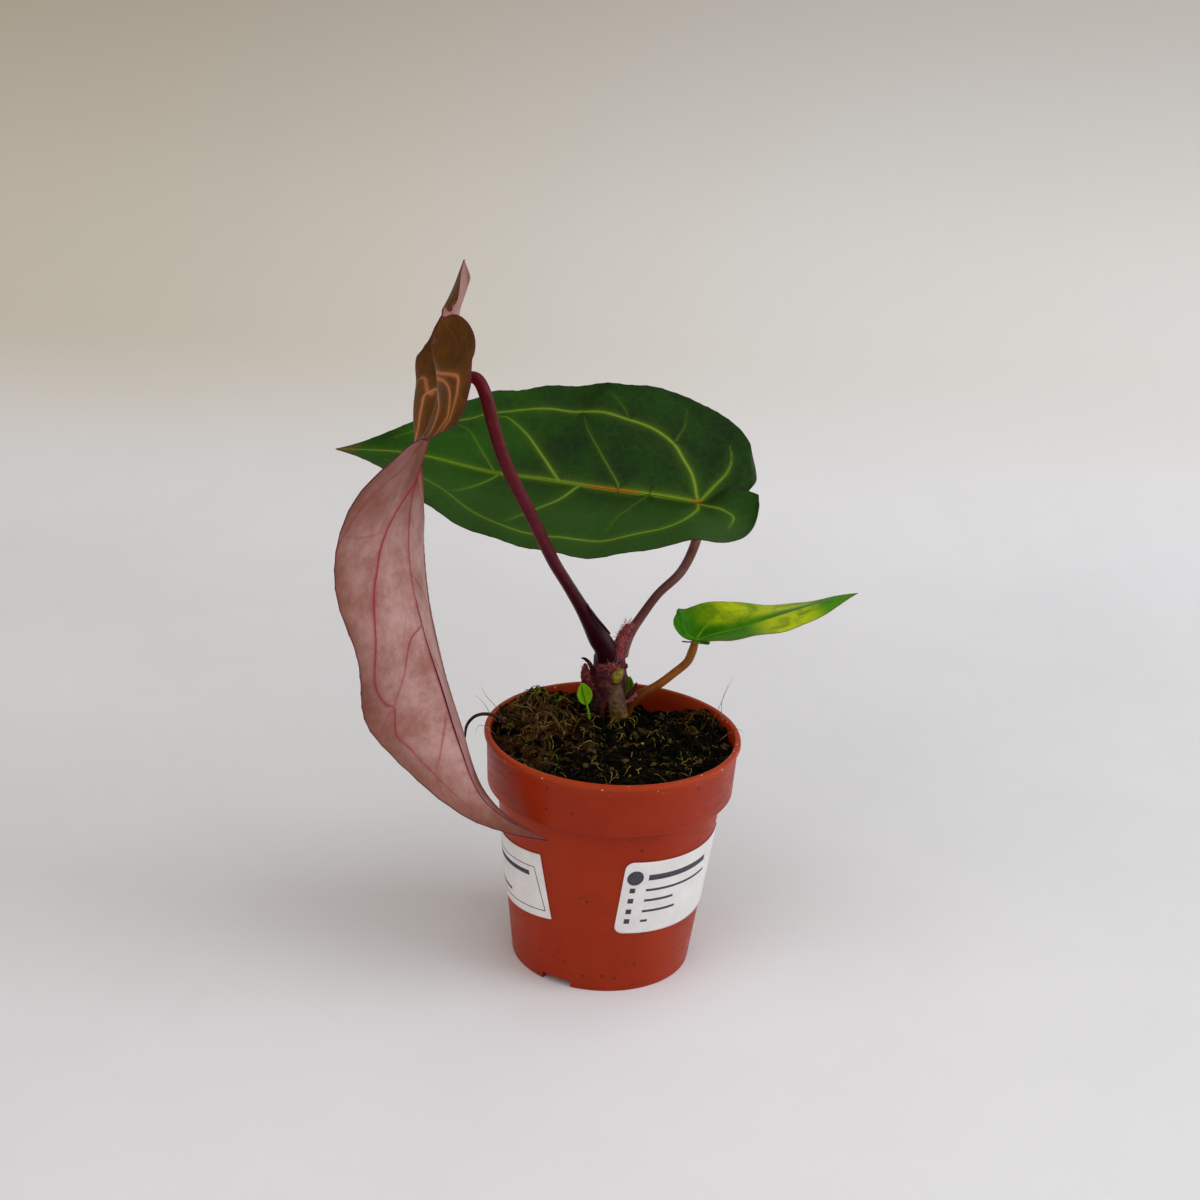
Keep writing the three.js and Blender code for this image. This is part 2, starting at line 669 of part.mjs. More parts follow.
// The peat's top as rings of points over a flat underside, wider than the pot's inside.
function soilBlock() {
  const points = [];
  const triangles = [];
  const reach = 59;
  for (let i = 1; i <= SOIL_RINGS; i += 1) {
    for (let k = 0; k < POT_SIDES; k += 1) {
      const r = (reach * i) / SOIL_RINGS;
      const a = (2 * Math.PI * k) / POT_SIDES;
      const x = r * Math.cos(a);
      const y = r * Math.sin(a);
      points.push(vec(x, y, soilHeight(x, y)));
    }
  }
  for (let k = 0; k < POT_SIDES; k += 1) {
    const a = (2 * Math.PI * k) / POT_SIDES;
    points.push(vec(reach * Math.cos(a), reach * Math.sin(a), 0));
  }
  const crown = points.length;
  points.push(vec(0, 0, soilHeight(0, 0)), vec(0, 0, 0));
  const bottom = SOIL_RINGS * POT_SIDES;
  for (let k = 0; k < POT_SIDES; k += 1) {
    const next = (k + 1) % POT_SIDES;
    triangles.push([crown, k, next]);
    for (let i = 0; i < SOIL_RINGS; i += 1) {
      const inside = i * POT_SIDES;
      const outside = inside + POT_SIDES;
      triangles.push([inside + k, outside + k, outside + next]);
      triangles.push([inside + k, outside + next, inside + next]);
    }
    triangles.push([crown + 1, bottom + next, bottom + k]);
  }
  return solid(points, triangles);
}

const soilProfile = [
  [0, FLOOR_Z + CLEARANCE],
  [BASE_RADIUS - 2.4, FLOOR_Z + CLEARANCE],
  [BASE_RADIUS - 1.8, FLOOR_Z + CLEARANCE + 0.6],
  [innerBody - CLEARANCE, COLLAR_Z + 1.3],
  [innerBody, COLLAR_Z + 2],
  [COLLAR_RADIUS - 2.2, COLLAR_Z + 2],
  [COLLAR_RADIUS - 1.6, COLLAR_Z + 2.8],
  [RIM_RADIUS - 3.3, POT_HEIGHT - 1],
  [RIM_RADIUS - 3.3, POT_HEIGHT + 12],
  [0, POT_HEIGHT + 12],
];

// A crumb of peat: an eight-faced lump with uneven corners, sunk by half.
function crumb(x, y, size, random) {
  const z = soilHeight(x, y);
  const reach = () => size * (0.7 + 0.5 * random());
  const points = [
    vec(x + reach(), y, z), vec(x, y + reach(), z), vec(x - reach(), y, z),
    vec(x, y - reach(), z), vec(x, y, z + 0.8 * reach()), vec(x, y, z - size),
  ];
  const faces = [];
  for (let k = 0; k < 4; k += 1) {
    const next = (k + 1) % 4;
    faces.push([k, next, 4], [next, k, 5]);
  }
  return solid(points, faces);
}

function crumbs() {
  const random = seededRandom(4711);
  const bodies = [];
  while (bodies.length < CRUMB_COUNT) {
    const r = 50 * Math.sqrt(random());
    const a = 2 * Math.PI * random();
    const size = 1.8 + 2 * random();
    const x = r * Math.cos(a);
    const y = r * Math.sin(a);
    const nearStem = Math.hypot(x + 1, y - 29) < 17 || Math.hypot(x - 7, y - 36) < 13;
    if (!nearStem) bodies.push(crumb(x, y, size, random));
  }
  return bodies;
}

// The dry root that curls out of the peat and hangs over the rim.
const RIM_ROOT = [
  [-46, 5, 104], [-50, 2, 113], [-55, -3, 119.5], [-60.3, -9, 122.8], [-64.4, -10, 121.5],
  [-67.5, -10.4, 117.2], [-68.2, -10.6, 110.6],
];
const RIM_ROOT_RADII = [0.9, 0.9, 0.85, 0.8, 0.75, 0.7, 0.45];
const rimRoot = (grow) => sweep(RIM_ROOT, RIM_ROOT_RADII.map((r) => r + grow), 6, 14);

const soilTop = union([soilBlock(), ...crumbs()]);
const filled = soilTop.intersect(revolve(soilProfile, POT_SIDES));
const soilTools = [
  stemBody(CLEARANCE),
  petioleBody(PETIOLES.low, CLEARANCE),
  rimRoot(CLEARANCE),
  post(-11.2, 20, 0.7 + CLEARANCE, 100.7, 125, 8),
  post(5.1, 41, 0.7 + CLEARANCE, 100.7, 125, 8),
];
const soil = largest(cut(filled, soilTools));

// Labels

// A rectangle of paper wrapped on the cone of the pot's wall. The cone is rolled out flat,
// so the label's straight edges stay straight there.
function label({ azimuth, z, width, height, tilt, corner }) {
  const slope = (BODY_TOP_RADIUS - BASE_RADIUS) / COLLAR_Z;
  const sine = slope / Math.hypot(1, slope);
  const middle = (BASE_RADIUS + slope * z) / sine;
  const lift = CLEARANCE + LABEL_THICKNESS / 2;
  const columns = [0, 0.012, 0.035, 0.06];
  for (let i = 1; i < 10; i += 1) columns.push(i / 10);
  columns.push(0.94, 0.965, 0.988, 1);
  const rows = 1;
  const points = [];
  const triangles = [];
  for (const share of columns) {
    const u = (share - 0.5) * width;
    const past = Math.max(Math.abs(u) - (width / 2 - corner), 0);
    const trim = corner - Math.sqrt(Math.max(corner * corner - past * past, 0));
    for (let j = 0; j <= rows; j += 1) {
      const v = (j / rows - 0.5) * (height - 2 * trim);
      const x = u * Math.cos(tilt) - v * Math.sin(tilt);
      const y = middle + u * Math.sin(tilt) + v * Math.cos(tilt);
      const r = Math.hypot(x, y) * sine;
      const a = rad(azimuth) + Math.atan2(x, y) / sine;
      points.push(vec((r + lift) * Math.cos(a), (r + lift) * Math.sin(a), (r - BASE_RADIUS) / slope));
    }
  }
  for (let i = 0; i + 1 < columns.length; i += 1) {
    for (let j = 0; j < rows; j += 1) {
      const a = i * (rows + 1) + j;
      triangles.push([a, a + rows + 1, a + rows + 2], [a, a + rows + 2, a + 1]);
    }
  }
  return thicken(points, triangles, LABEL_THICKNESS);
}

const labelRight = label({ azimuth: 319.6, z: 51.5, width: 70, height: 39, tilt: 0, corner: 4 });
const labelLeft = label({ azimuth: 196, z: 48.4, width: 70, height: 34, tilt: rad(4), corner: 0.3 });

// The part

addPart('pot', pot, 0x9c3a1c, 0.5);
addPart('soil', soil, 0x2a2018, 1);
addPart('rim_root', rimRoot(0), 0x3a2a20, 0.9);
addPart('stem', stem, 0x5a3038, 0.7);
addPart('petiole_tall', tallPetiole, 0x4a1c30, 0.5);
addPart('petiole_mid', midPetiole, 0x5c4038, 0.5);
addPart('petiole_low', lowPetiole, 0x8a5a2c, 0.5);
addPart('blade_tall', tallBlade, 0xa87f73, 0.5);
addPart('blade_mid', midBlade, 0x1e4420, 0.5);
addPart('blade_low', lowBlade, 0x6f9a1e, 0.5);
addPart('seedling_left', seedlingLeft, 0x7ec820, 0.6);
addPart('seedling_right', seedlingRight, 0x7ec820, 0.6);
addPart('label_left', labelLeft, 0xe8e4e0, 0.6);
addPart('label_right', labelRight, 0xe8e4e0, 0.6);

export default group;
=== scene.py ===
# %% [markdown]
# # A potted anthurium hybrid
# A young aroid with three leaves stands in a small nursery pot of peat. One leaf is grown
# and green, one is new and still copper and pink, and one is small and lime. This lesson
# dresses the plain solids of the plant: it lays each blade out flat, draws its veins, and
# then bends it along its midrib, as a leaf unrolls from its bud.

# %% Load the fixed frame
import math
import random

import bmesh
import bpy
import numpy as np
from mathutils import Matrix, Vector, kdtree, noise


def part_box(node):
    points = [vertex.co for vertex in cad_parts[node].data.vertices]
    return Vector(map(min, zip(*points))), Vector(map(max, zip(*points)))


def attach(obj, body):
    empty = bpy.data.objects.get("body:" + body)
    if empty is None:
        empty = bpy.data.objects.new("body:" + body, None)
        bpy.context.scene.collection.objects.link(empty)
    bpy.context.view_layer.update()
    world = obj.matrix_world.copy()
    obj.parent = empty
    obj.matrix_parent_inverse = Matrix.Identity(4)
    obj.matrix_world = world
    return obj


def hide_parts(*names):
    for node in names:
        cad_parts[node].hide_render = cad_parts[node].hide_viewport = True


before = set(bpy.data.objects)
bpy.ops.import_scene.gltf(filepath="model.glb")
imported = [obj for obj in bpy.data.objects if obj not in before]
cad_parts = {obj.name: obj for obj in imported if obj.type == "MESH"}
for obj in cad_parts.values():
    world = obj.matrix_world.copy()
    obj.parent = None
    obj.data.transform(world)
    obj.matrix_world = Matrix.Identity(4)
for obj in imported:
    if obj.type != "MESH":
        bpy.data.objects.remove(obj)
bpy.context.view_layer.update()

print("nodes to dress:", sorted(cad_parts))

# %% [markdown]
# ## Places
# A plant in a pot is easiest to describe round the pot's own axis, in millimetres. The
# frame is in metres and its origin lies under the middle of the whole plant, so one small
# function carries every point over. The axis is read from the pot, so it can't drift.

# %% Pot axis and millimetres
MM = 0.001
pot_low, pot_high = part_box("pot")
POT_AXIS = np.array([(pot_low.x + pot_high.x) / 2, (pot_low.y + pot_high.y) / 2, 0.0])


def placed(points):
    """Points round the pot's axis in millimetres, carried into the frame in metres."""
    return np.asarray(points, float) * MM + POT_AXIS


print("pot axis at", POT_AXIS.round(5))

# %% [markdown]
# ## Camera
# The camera looks down at the pot from the height of a person bending over a table, and it
# is held a little crooked. Its three directions are worked out from the pitch and the roll
# and put into one matrix, which is clearer than three turns about axes.

# %% Camera
CAMERA_PLACE = (-9.5, -895.0, 517.0)
CAMERA_PITCH = math.radians(20.7)
CAMERA_ROLL = math.radians(3.3)
CAMERA_LENS = 63.0
CAMERA_SENSOR = 36.0

forward = Vector((0, math.cos(CAMERA_PITCH), -math.sin(CAMERA_PITCH)))
level = Vector((1, 0, 0))
upright = level.cross(forward)
right = level * math.cos(CAMERA_ROLL) + upright * math.sin(CAMERA_ROLL)
up = upright * math.cos(CAMERA_ROLL) - level * math.sin(CAMERA_ROLL)

camera = bpy.data.objects.new("camera", bpy.data.cameras.new("camera"))
bpy.context.collection.objects.link(camera)
turn = Matrix((right, up, -forward)).transposed().to_4x4()
camera.matrix_world = Matrix.Translation(Vector(placed(CAMERA_PLACE))) @ turn
camera.data.lens = CAMERA_LENS
camera.data.sensor_width = CAMERA_SENSOR
camera.data.clip_start = 0.05
camera.data.clip_end = 20.0
bpy.context.scene.camera = camera
print("camera at", [round(v, 3) for v in camera.location])

# %% [markdown]
# ## Helpers for materials
# A material here is a small graph of nodes. These helpers add one node each and hand back
# the socket that the next one reads, so that a finish can be written as a few short lines.

# %% Colour and node helpers
def paint(red, green, blue):
    """A screen colour from 0 to 255 as the linear colour that a shader takes."""
    def linear(value):
        share = value / 255
        return share / 12.92 if share <= 0.04045 else ((share + 0.055) / 1.055) ** 2.4
    return (linear(red), linear(green), linear(blue), 1.0)


def add(tree, kind, inputs=None, **settings):
    """One new node. An input is a plain value or another node's output."""
    node = tree.nodes.new(kind)
    for key, value in settings.items():
        setattr(node, key, value)
    for key, value in (inputs or {}).items():
        if isinstance(value, bpy.types.NodeSocket):
            tree.links.new(value, node.inputs[key])
        else:
            node.inputs[key].default_value = value
    return node


def blend(tree, share, first, second, mode="MIX"):
    """Two colours mixed, with share 0 for the first and 1 for the second."""
    inputs = {0: share, 6: first, 7: second}
    return add(tree, "ShaderNodeMix", inputs, data_type="RGBA", blend_type=mode).outputs[2]


def calc(tree, operation, first, second=0.0, clamp=False):
    inputs = {0: first, 1: second}
    return add(tree, "ShaderNodeMath", inputs, operation=operation, use_clamp=clamp).outputs[0]


def spread(tree, value, low, high, to_low=0.0, to_high=1.0):
    """Value from low to high, spread smoothly over to_low to to_high and held there."""
    inputs = {0: value, 1: low, 2: high, 3: to_low, 4: to_high}
    node = add(tree, "ShaderNodeMapRange", inputs, interpolation_type="SMOOTHSTEP")
    return node.outputs[0]


def ramp(tree, value, stops):
    """A row of (place, colour) stops read at value."""
    node = add(tree, "ShaderNodeValToRGB", {0: value})
    elements = node.color_ramp.elements
    while len(elements) < len(stops):
        elements.new(0.5)
    for element, (place, colour) in zip(elements, stops):
        element.position = place
        element.color = colour
    return node.outputs["Color"]


print("paint(150, 60, 20) is", [round(v, 3) for v in paint(150, 60, 20)])

# %% [markdown]
# ## Helpers for patterns
# A pattern needs a place to read. Grown things without a clear run of their own, such as
# peat, read Object coordinates. A leaf or a stalk reads its own flat map instead, so that
# its pattern follows the surface round every bend. Noise and cells then give the pattern,
# and a Bump node turns it into fine relief.

# %% Places, patterns and relief
def attribute(tree, name, output="Fac"):
    return add(tree, "ShaderNodeAttribute", attribute_name=name).outputs[output]


def object_place(tree):
    return add(tree, "ShaderNodeTexCoord").outputs["Object"]


def flat_place(tree, stretch=(1.0, 1.0, 1.0)):
    """The piece's own UV map, stretched."""
    uv = add(tree, "ShaderNodeUVMap", uv_map="flat").outputs[0]
    return add(tree, "ShaderNodeMapping", {"Vector": uv, "Scale": stretch}).outputs[0]


def cloud(tree, place, scale, detail=3.0, roughness=0.55, distortion=0.0):
    inputs = {"Vector": place, "Scale": scale, "Detail": detail, "Roughness": roughness,
              "Distortion": distortion}
    return add(tree, "ShaderNodeTexNoise", inputs).outputs[0]


def cells(tree, place, scale, feature="F1", output="Distance"):
    inputs = {"Vector": place, "Scale": scale}
    return add(tree, "ShaderNodeTexVoronoi", inputs, feature=feature).outputs[output]


def relief(tree, height, distance, strength=1.0, normal=None):
    inputs = {"Height": height, "Distance": distance, "Strength": strength}
    if normal is not None:
        inputs["Normal"] = normal
    return add(tree, "ShaderNodeBump", inputs).outputs[0]


def finish_material(name, **plain):
    """A material with one Principled BSDF. Plain values are set on its own sockets."""
    made = bpy.data.materials.new(name)
    made.use_nodes = True
    shader = made.node_tree.nodes["Principled BSDF"]
    for key, value in plain.items():
        shader.inputs[key.replace("_", " ")].default_value = value
    return made, made.node_tree, shader


def feed(tree, shader, **sockets):
    for key, socket in sockets.items():
        tree.links.new(socket, shader.inputs[key.replace("_", " ")])


def along_and_across(tree, place):
    """The separate coordinates of a place: on a flat map, along and across."""
    return add(tree, "ShaderNodeSeparateXYZ", {0: place}).outputs


print("patterns: cloud for noise, cells for a net or for grains")

# %% [markdown]
# ## Shared effects
# Three effects return in many finishes, so each is a node group with named sockets:
# **mottle** is the uneven depth of colour of anything that grew or was moulded, **leaf net**
# is the finest net of veins between the drawn ones, and **specks** are small grains of dirt.

# %% Node groups for mottle, leaf net and specks
def group_of(name, inputs, outputs):
    made = bpy.data.node_groups.new(name, "ShaderNodeTree")
    for label, kind, value in inputs:
        socket = made.interface.new_socket(label, in_out="INPUT", socket_type=kind)
        if value is not None:
            socket.default_value = value
    for label, kind in outputs:
        made.interface.new_socket(label, in_out="OUTPUT", socket_type=kind)
    return made, made.nodes.new("NodeGroupInput").outputs, made.nodes.new("NodeGroupOutput")


VECTOR, FLOAT = "NodeSocketVector", "NodeSocketFloat"

BROAD_SHARE = 0.65
FINE_STEP = 5.3
NET_LINE = 0.07
NET_BULGE = 0.35

mottle_group, given, result = group_of(
    "mottle", [("Place", VECTOR, None), ("Scale", FLOAT, 50.0)], [("Value", FLOAT)])
broad = cloud(mottle_group, given["Place"], given["Scale"], 2.0, 0.5)
fine = cloud(mottle_group, given["Place"],
             calc(mottle_group, "MULTIPLY", given["Scale"], FINE_STEP), 4.0, 0.65)
mixed = calc(mottle_group, "ADD", calc(mottle_group, "MULTIPLY", broad, BROAD_SHARE),
             calc(mottle_group, "MULTIPLY", fine, 1 - BROAD_SHARE))
mottle_group.links.new(spread(mottle_group, mixed, 0.32, 0.68), result.inputs["Value"])

net_group, given, result = group_of(
    "leaf_net", [("Place", VECTOR, None), ("Scale", FLOAT, 20.0)],
    [("Line", FLOAT), ("Height", FLOAT)])
edge = cells(net_group, given["Place"], given["Scale"], "DISTANCE_TO_EDGE")
net_group.links.new(spread(net_group, edge, 0.0, NET_LINE, 1.0, 0.0), result.inputs["Line"])
net_group.links.new(spread(net_group, edge, 0.0, NET_BULGE), result.inputs["Height"])

speck_group, given, result = group_of(
    "specks", [("Place", VECTOR, None), ("Scale", FLOAT, 300.0), ("Share", FLOAT, 0.1)],
    [("Mask", FLOAT)])
grain = add(speck_group, "ShaderNodeTexVoronoi",
            {"Vector": given["Place"], "Scale": given["Scale"]})
chance = add(speck_group, "ShaderNodeSeparateColor", {0: grain.outputs["Color"]}).outputs[0]
chosen = calc(speck_group, "LESS_THAN", chance, given["Share"])
spot = spread(speck_group, grain.outputs["Distance"], 0.18, 0.3, 1.0, 0.0)
speck_group.links.new(calc(speck_group, "MULTIPLY", chosen, spot), result.inputs["Mask"])


def effect(tree, group, **inputs):
    node = tree.nodes.new("ShaderNodeGroup")
    node.node_tree = group
    for key, value in inputs.items():
        if isinstance(value, bpy.types.NodeSocket):
            tree.links.new(value, node.inputs[key])
        else:
            node.inputs[key].default_value = value
    return node.outputs


print("groups:", [g.name for g in bpy.data.node_groups])

# %% [markdown]
# ## Helpers for shapes
# Leaves, stalks, roots and labels are all sheets before they are anything else. A grid of
# squares is made by one operator. It is then bent into a tube or a blade by moving its
# points with a formula, which keeps the squares even and gives every point a UV place.
# One unit of that flat map is 100 mm of the real surface.

# %% Curves and sheets
FLAT_UNIT = 100.0
WELD = 0.002 * MM


def smooth(places, values, at):
    """Cubic curve through values at places, read at many points at once."""
    places, values, at = (np.asarray(v, float) for v in (places, values, at))
    last = len(places) - 1
    before = np.maximum(np.arange(last + 1) - 1, 0)
    after = np.minimum(np.arange(last + 1) + 1, last)
    run = places[after] - places[before]
    slope = (values[after] - values[before]) / (run[:, None] if values.ndim == 2 else run)
    i = np.clip(np.searchsorted(places, at, side="right") - 1, 0, last - 1)
    h = places[i + 1] - places[i]
    t = np.clip((at - places[i]) / h, 0, 1)
    if values.ndim == 2:
        h, t = h[:, None], t[:, None]
    return ((2 * t**3 - 3 * t**2 + 1) * values[i] + (t**3 - 2 * t**2 + t) * h * slope[i]
            + (3 * t**2 - 2 * t**3) * values[i + 1] + (t**3 - t**2) * h * slope[i + 1])


def lengths(path):
    """Distance along a path to each of its points."""
    steps = np.linalg.norm(np.diff(np.asarray(path, float), axis=0), axis=1)
    return np.concatenate([[0.0], np.cumsum(steps)])


def unit(vectors):
    return vectors / np.maximum(np.linalg.norm(vectors, axis=1), 1e-12)[:, None]


def sheet(bm, columns, rows):
    """A new flat grid of squares, and its points as shares from 0 to 1."""
    made = bmesh.ops.create_grid(bm, x_segments=columns, y_segments=rows, size=0.5)
    shares = np.array([v.co for v in made["verts"]])[:, :2] + 0.5
    return made["verts"], shares


def write_uv(bm, verts, uvs):
    """The UV place of each vertex on all its corners."""
    layer = bm.loops.layers.uv.get("flat") or bm.loops.layers.uv.new("flat")
    for vert, uv in zip(verts, uvs):
        for loop in vert.link_loops:
            loop[layer].uv = uv


def move_to(verts, points):
    for vert, point in zip(verts, points):
        vert.co = point


print("one unit of a flat map is", FLAT_UNIT, "mm")

# %% [markdown]
# ## Rods
# Stalks, roots, fibres and hairs are rods. Blender's own curves could draw them, but a
# curve has no closed mesh of its own until it is converted. So a flat sheet is rolled up
# along the path instead: its rows become the sides of the rod and its columns the rings.

# %% Rods and pieces
END_RINGS = np.array([0.0, 0.8, 1.0])
MOST_ALONG_Y = 0.8


def rod(bm, path, radii, rings, sides, bump=None):
    """A round rod with closed ends along a path in millimetres. UV: length in mm, turn."""
    path = np.asarray(path, float)
    verts, shares = sheet(bm, rings, sides)
    along = lengths(path)
    t = shares[:, 0]
    angle = 2 * math.pi * shares[:, 1]
    at = t * along[-1]
    step = along[-1] / 200
    stations = np.linspace(0, along[-1], rings + 1)
    ahead = smooth(along, path, np.minimum(stations + step, along[-1]))
    tangents = unit(ahead - smooth(along, path, np.maximum(stations - step, 0)))
    sideways = abs(tangents[0][1]) < MOST_ALONG_Y
    side = np.array([0.0, 1.0, 0.0]) if sideways else np.array([1.0, 0.0, 0.0])
    sides_at = []
    for tangent in tangents:
        side = side - tangent * side.dot(tangent)
        side = side / np.linalg.norm(side)
        sides_at.append(side)
    ring = np.rint(t * rings).astype(int)
    across = np.array(sides_at)[ring]
    over = np.cross(tangents[ring], across)
    radius = smooth(np.linspace(0, along[-1], len(radii)) if len(radii) != len(path) else along,
                    radii, at)
    if bump is not None:
        radius = radius * bump(t, angle)
    from_end = np.minimum(np.minimum(ring, rings - ring), 2)
    radius = radius * END_RINGS[from_end]
    centre = smooth(along, path, at)
    points = centre + across * (radius * np.cos(angle))[:, None]
    points += over * (radius * np.sin(angle))[:, None]
    write_uv(bm, verts, np.stack([at / FLAT_UNIT, shares[:, 1]], 1))
    move_to(verts, placed(points))
    bmesh.ops.remove_doubles(bm, verts=verts, dist=WELD)


def add_piece(bm, name, materials, nodes=(), smooth_faces=True):
    """The finished mesh as a piece that rides on the root."""
    bmesh.ops.recalc_face_normals(bm, faces=bm.faces[:])
    mesh = bpy.data.meshes.new(name)
    bm.to_mesh(mesh)
    bm.free()
    for material in materials:
        mesh.materials.append(material)
    mesh.polygons.foreach_set("use_smooth", [smooth_faces] * len(mesh.polygons))
    piece = bpy.data.objects.new(name, mesh)
    bpy.context.collection.objects.link(piece)
    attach(piece, "root")
    for node in nodes:
        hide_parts(node)
    print(f"{name}: {len(mesh.polygons)} faces")
    return piece


print("a rod's end rings have these shares of its radius:", END_RINGS)

# %% [markdown]
# ## Paper sweep
# The plant is photographed on a sheet of pale paper that runs up into a wall. A flat grid
# is bent upwards behind the pot, round a quarter circle, so no corner or skyline shows.

# %% Paper sweep
SWEEP_FRONT = 3.0
SWEEP_HEIGHT = 2.4
SWEEP_BACK = 0.48
SWEEP_RADIUS = 0.30
SWEEP_WIDTH = 5.0

bm = bmesh.new()
verts, shares = sheet(bm, 8, 60)
run = shares[:, 1] * (SWEEP_FRONT + SWEEP_BACK + math.pi / 2 * SWEEP_RADIUS
                      + SWEEP_HEIGHT) - SWEEP_FRONT
bend = np.clip((run - SWEEP_BACK) / SWEEP_RADIUS, 0, math.pi / 2)
rise = np.maximum(run - SWEEP_BACK - math.pi / 2 * SWEEP_RADIUS, 0)
move_to(verts, np.stack([
    (shares[:, 0] - 0.5) * SWEEP_WIDTH,
    np.minimum(run, SWEEP_BACK) + SWEEP_RADIUS * np.sin(bend),
    SWEEP_RADIUS * (1 - np.cos(bend)) + rise], 1))
sweep_mesh = bpy.data.meshes.new("paper_sweep")
bm.to_mesh(sweep_mesh)
bm.free()
sweep_mesh.polygons.foreach_set("use_smooth", [True] * len(sweep_mesh.polygons))
paper_sweep = bpy.data.objects.new("paper_sweep", sweep_mesh)
bpy.context.collection.objects.link(paper_sweep)

sweep_finish, tree, shader = finish_material("pale_paper", Roughness=0.9,
                                             Specular_IOR_Level=0.1)
place = object_place(tree)
patches = effect(tree, mottle_group, Place=place, Scale=1.3)["Value"]
colour = blend(tree, patches, paint(228, 228, 232), paint(236, 236, 240))
sideways, _, height = along_and_across(tree, place)
# Painted shade: the wall is made darker and warmer towards the left, where less light reaches
# it.
wall_shade = blend(tree, spread(tree, sideways, -0.5, 0.3), paint(206, 199, 184),
             paint(222, 220, 217))
colour = blend(tree, spread(tree, height, 0.0, 0.12), colour, wall_shade)
# Painted shade: the wall is made darker again as it rises.
colour = blend(tree, spread(tree, height, 0.14, 0.5), colour, paint(214, 210, 204),
               "MULTIPLY")
feed(tree, shader, Base_Color=colour)
sweep_mesh.materials.append(sweep_finish)
print("sweep from the floor to", round(max(v.co.z for v in sweep_mesh.vertices), 2), "m")

# %% [markdown]
# ## Lights
# The light is a big soft window from the right, with the pale room giving back the rest,
# so shadows are broad and faint and fall to the left. Large area lamps do that better than
# small ones, because the width of a lamp is what softens its shadow.

# %% Lights
LIGHTS = [
    # name, place, what it aims at, width, power and colour
    ("window", (1.6, -0.35, 0.95), (0, 0, 0.12), 1.2, 15.0, (0.92, 0.96, 1.0)),
    ("ceiling", (0.1, -0.6, 2.0), (0, 0, 0.1), 2.6, 16.0, (0.98, 0.98, 0.98)),
    ("room", (-1.5, -1.6, 1.0), (0, 0, 0.15), 1.8, 9.0, (1.0, 0.9, 0.78)),
]
ROOM_AIR = (0.9, 0.87, 0.84, 1)
ROOM_AIR_STRENGTH = 0.42


def soft_light(name, place, aim, width, power, colour):
    data = bpy.data.lights.new(name, "AREA")
    data.shape = "SQUARE"
    data.size = width
    data.energy = power
    data.color = colour
    lamp = bpy.data.objects.new(name, data)
    bpy.context.collection.objects.link(lamp)
    lamp.location = place
    lamp.rotation_mode = "QUATERNION"
    lamp.rotation_quaternion = (Vector(aim) - Vector(place)).to_track_quat("-Z", "Y")


for light in LIGHTS:
    soft_light(*light)

world = bpy.data.worlds.new("room_air")
world.use_nodes = True
world.node_tree.nodes["Background"].inputs["Color"].default_value = ROOM_AIR
world.node_tree.nodes["Background"].inputs["Strength"].default_value = ROOM_AIR_STRENGTH
bpy.context.scene.world = world
bpy.context.scene.view_settings.view_transform = "Standard"

# %% [markdown]
# ## The flat leaf
# An anthurium blade is heart-shaped: two round lobes lie behind the place where the
# petiole joins, and the rest tapers to a drip tip. Here a blade is known by its midrib,
# a row of places with the fold and the curl of each half, and by its outline laid flat.
# Flat places are millimetres: x along the midrib from the petiole, y across from it.
# Each half is then bent like a strip of card: it leaves the midrib at its fold and turns
# on by its curl. One lobe of the new leaf is also drawn together at its top.

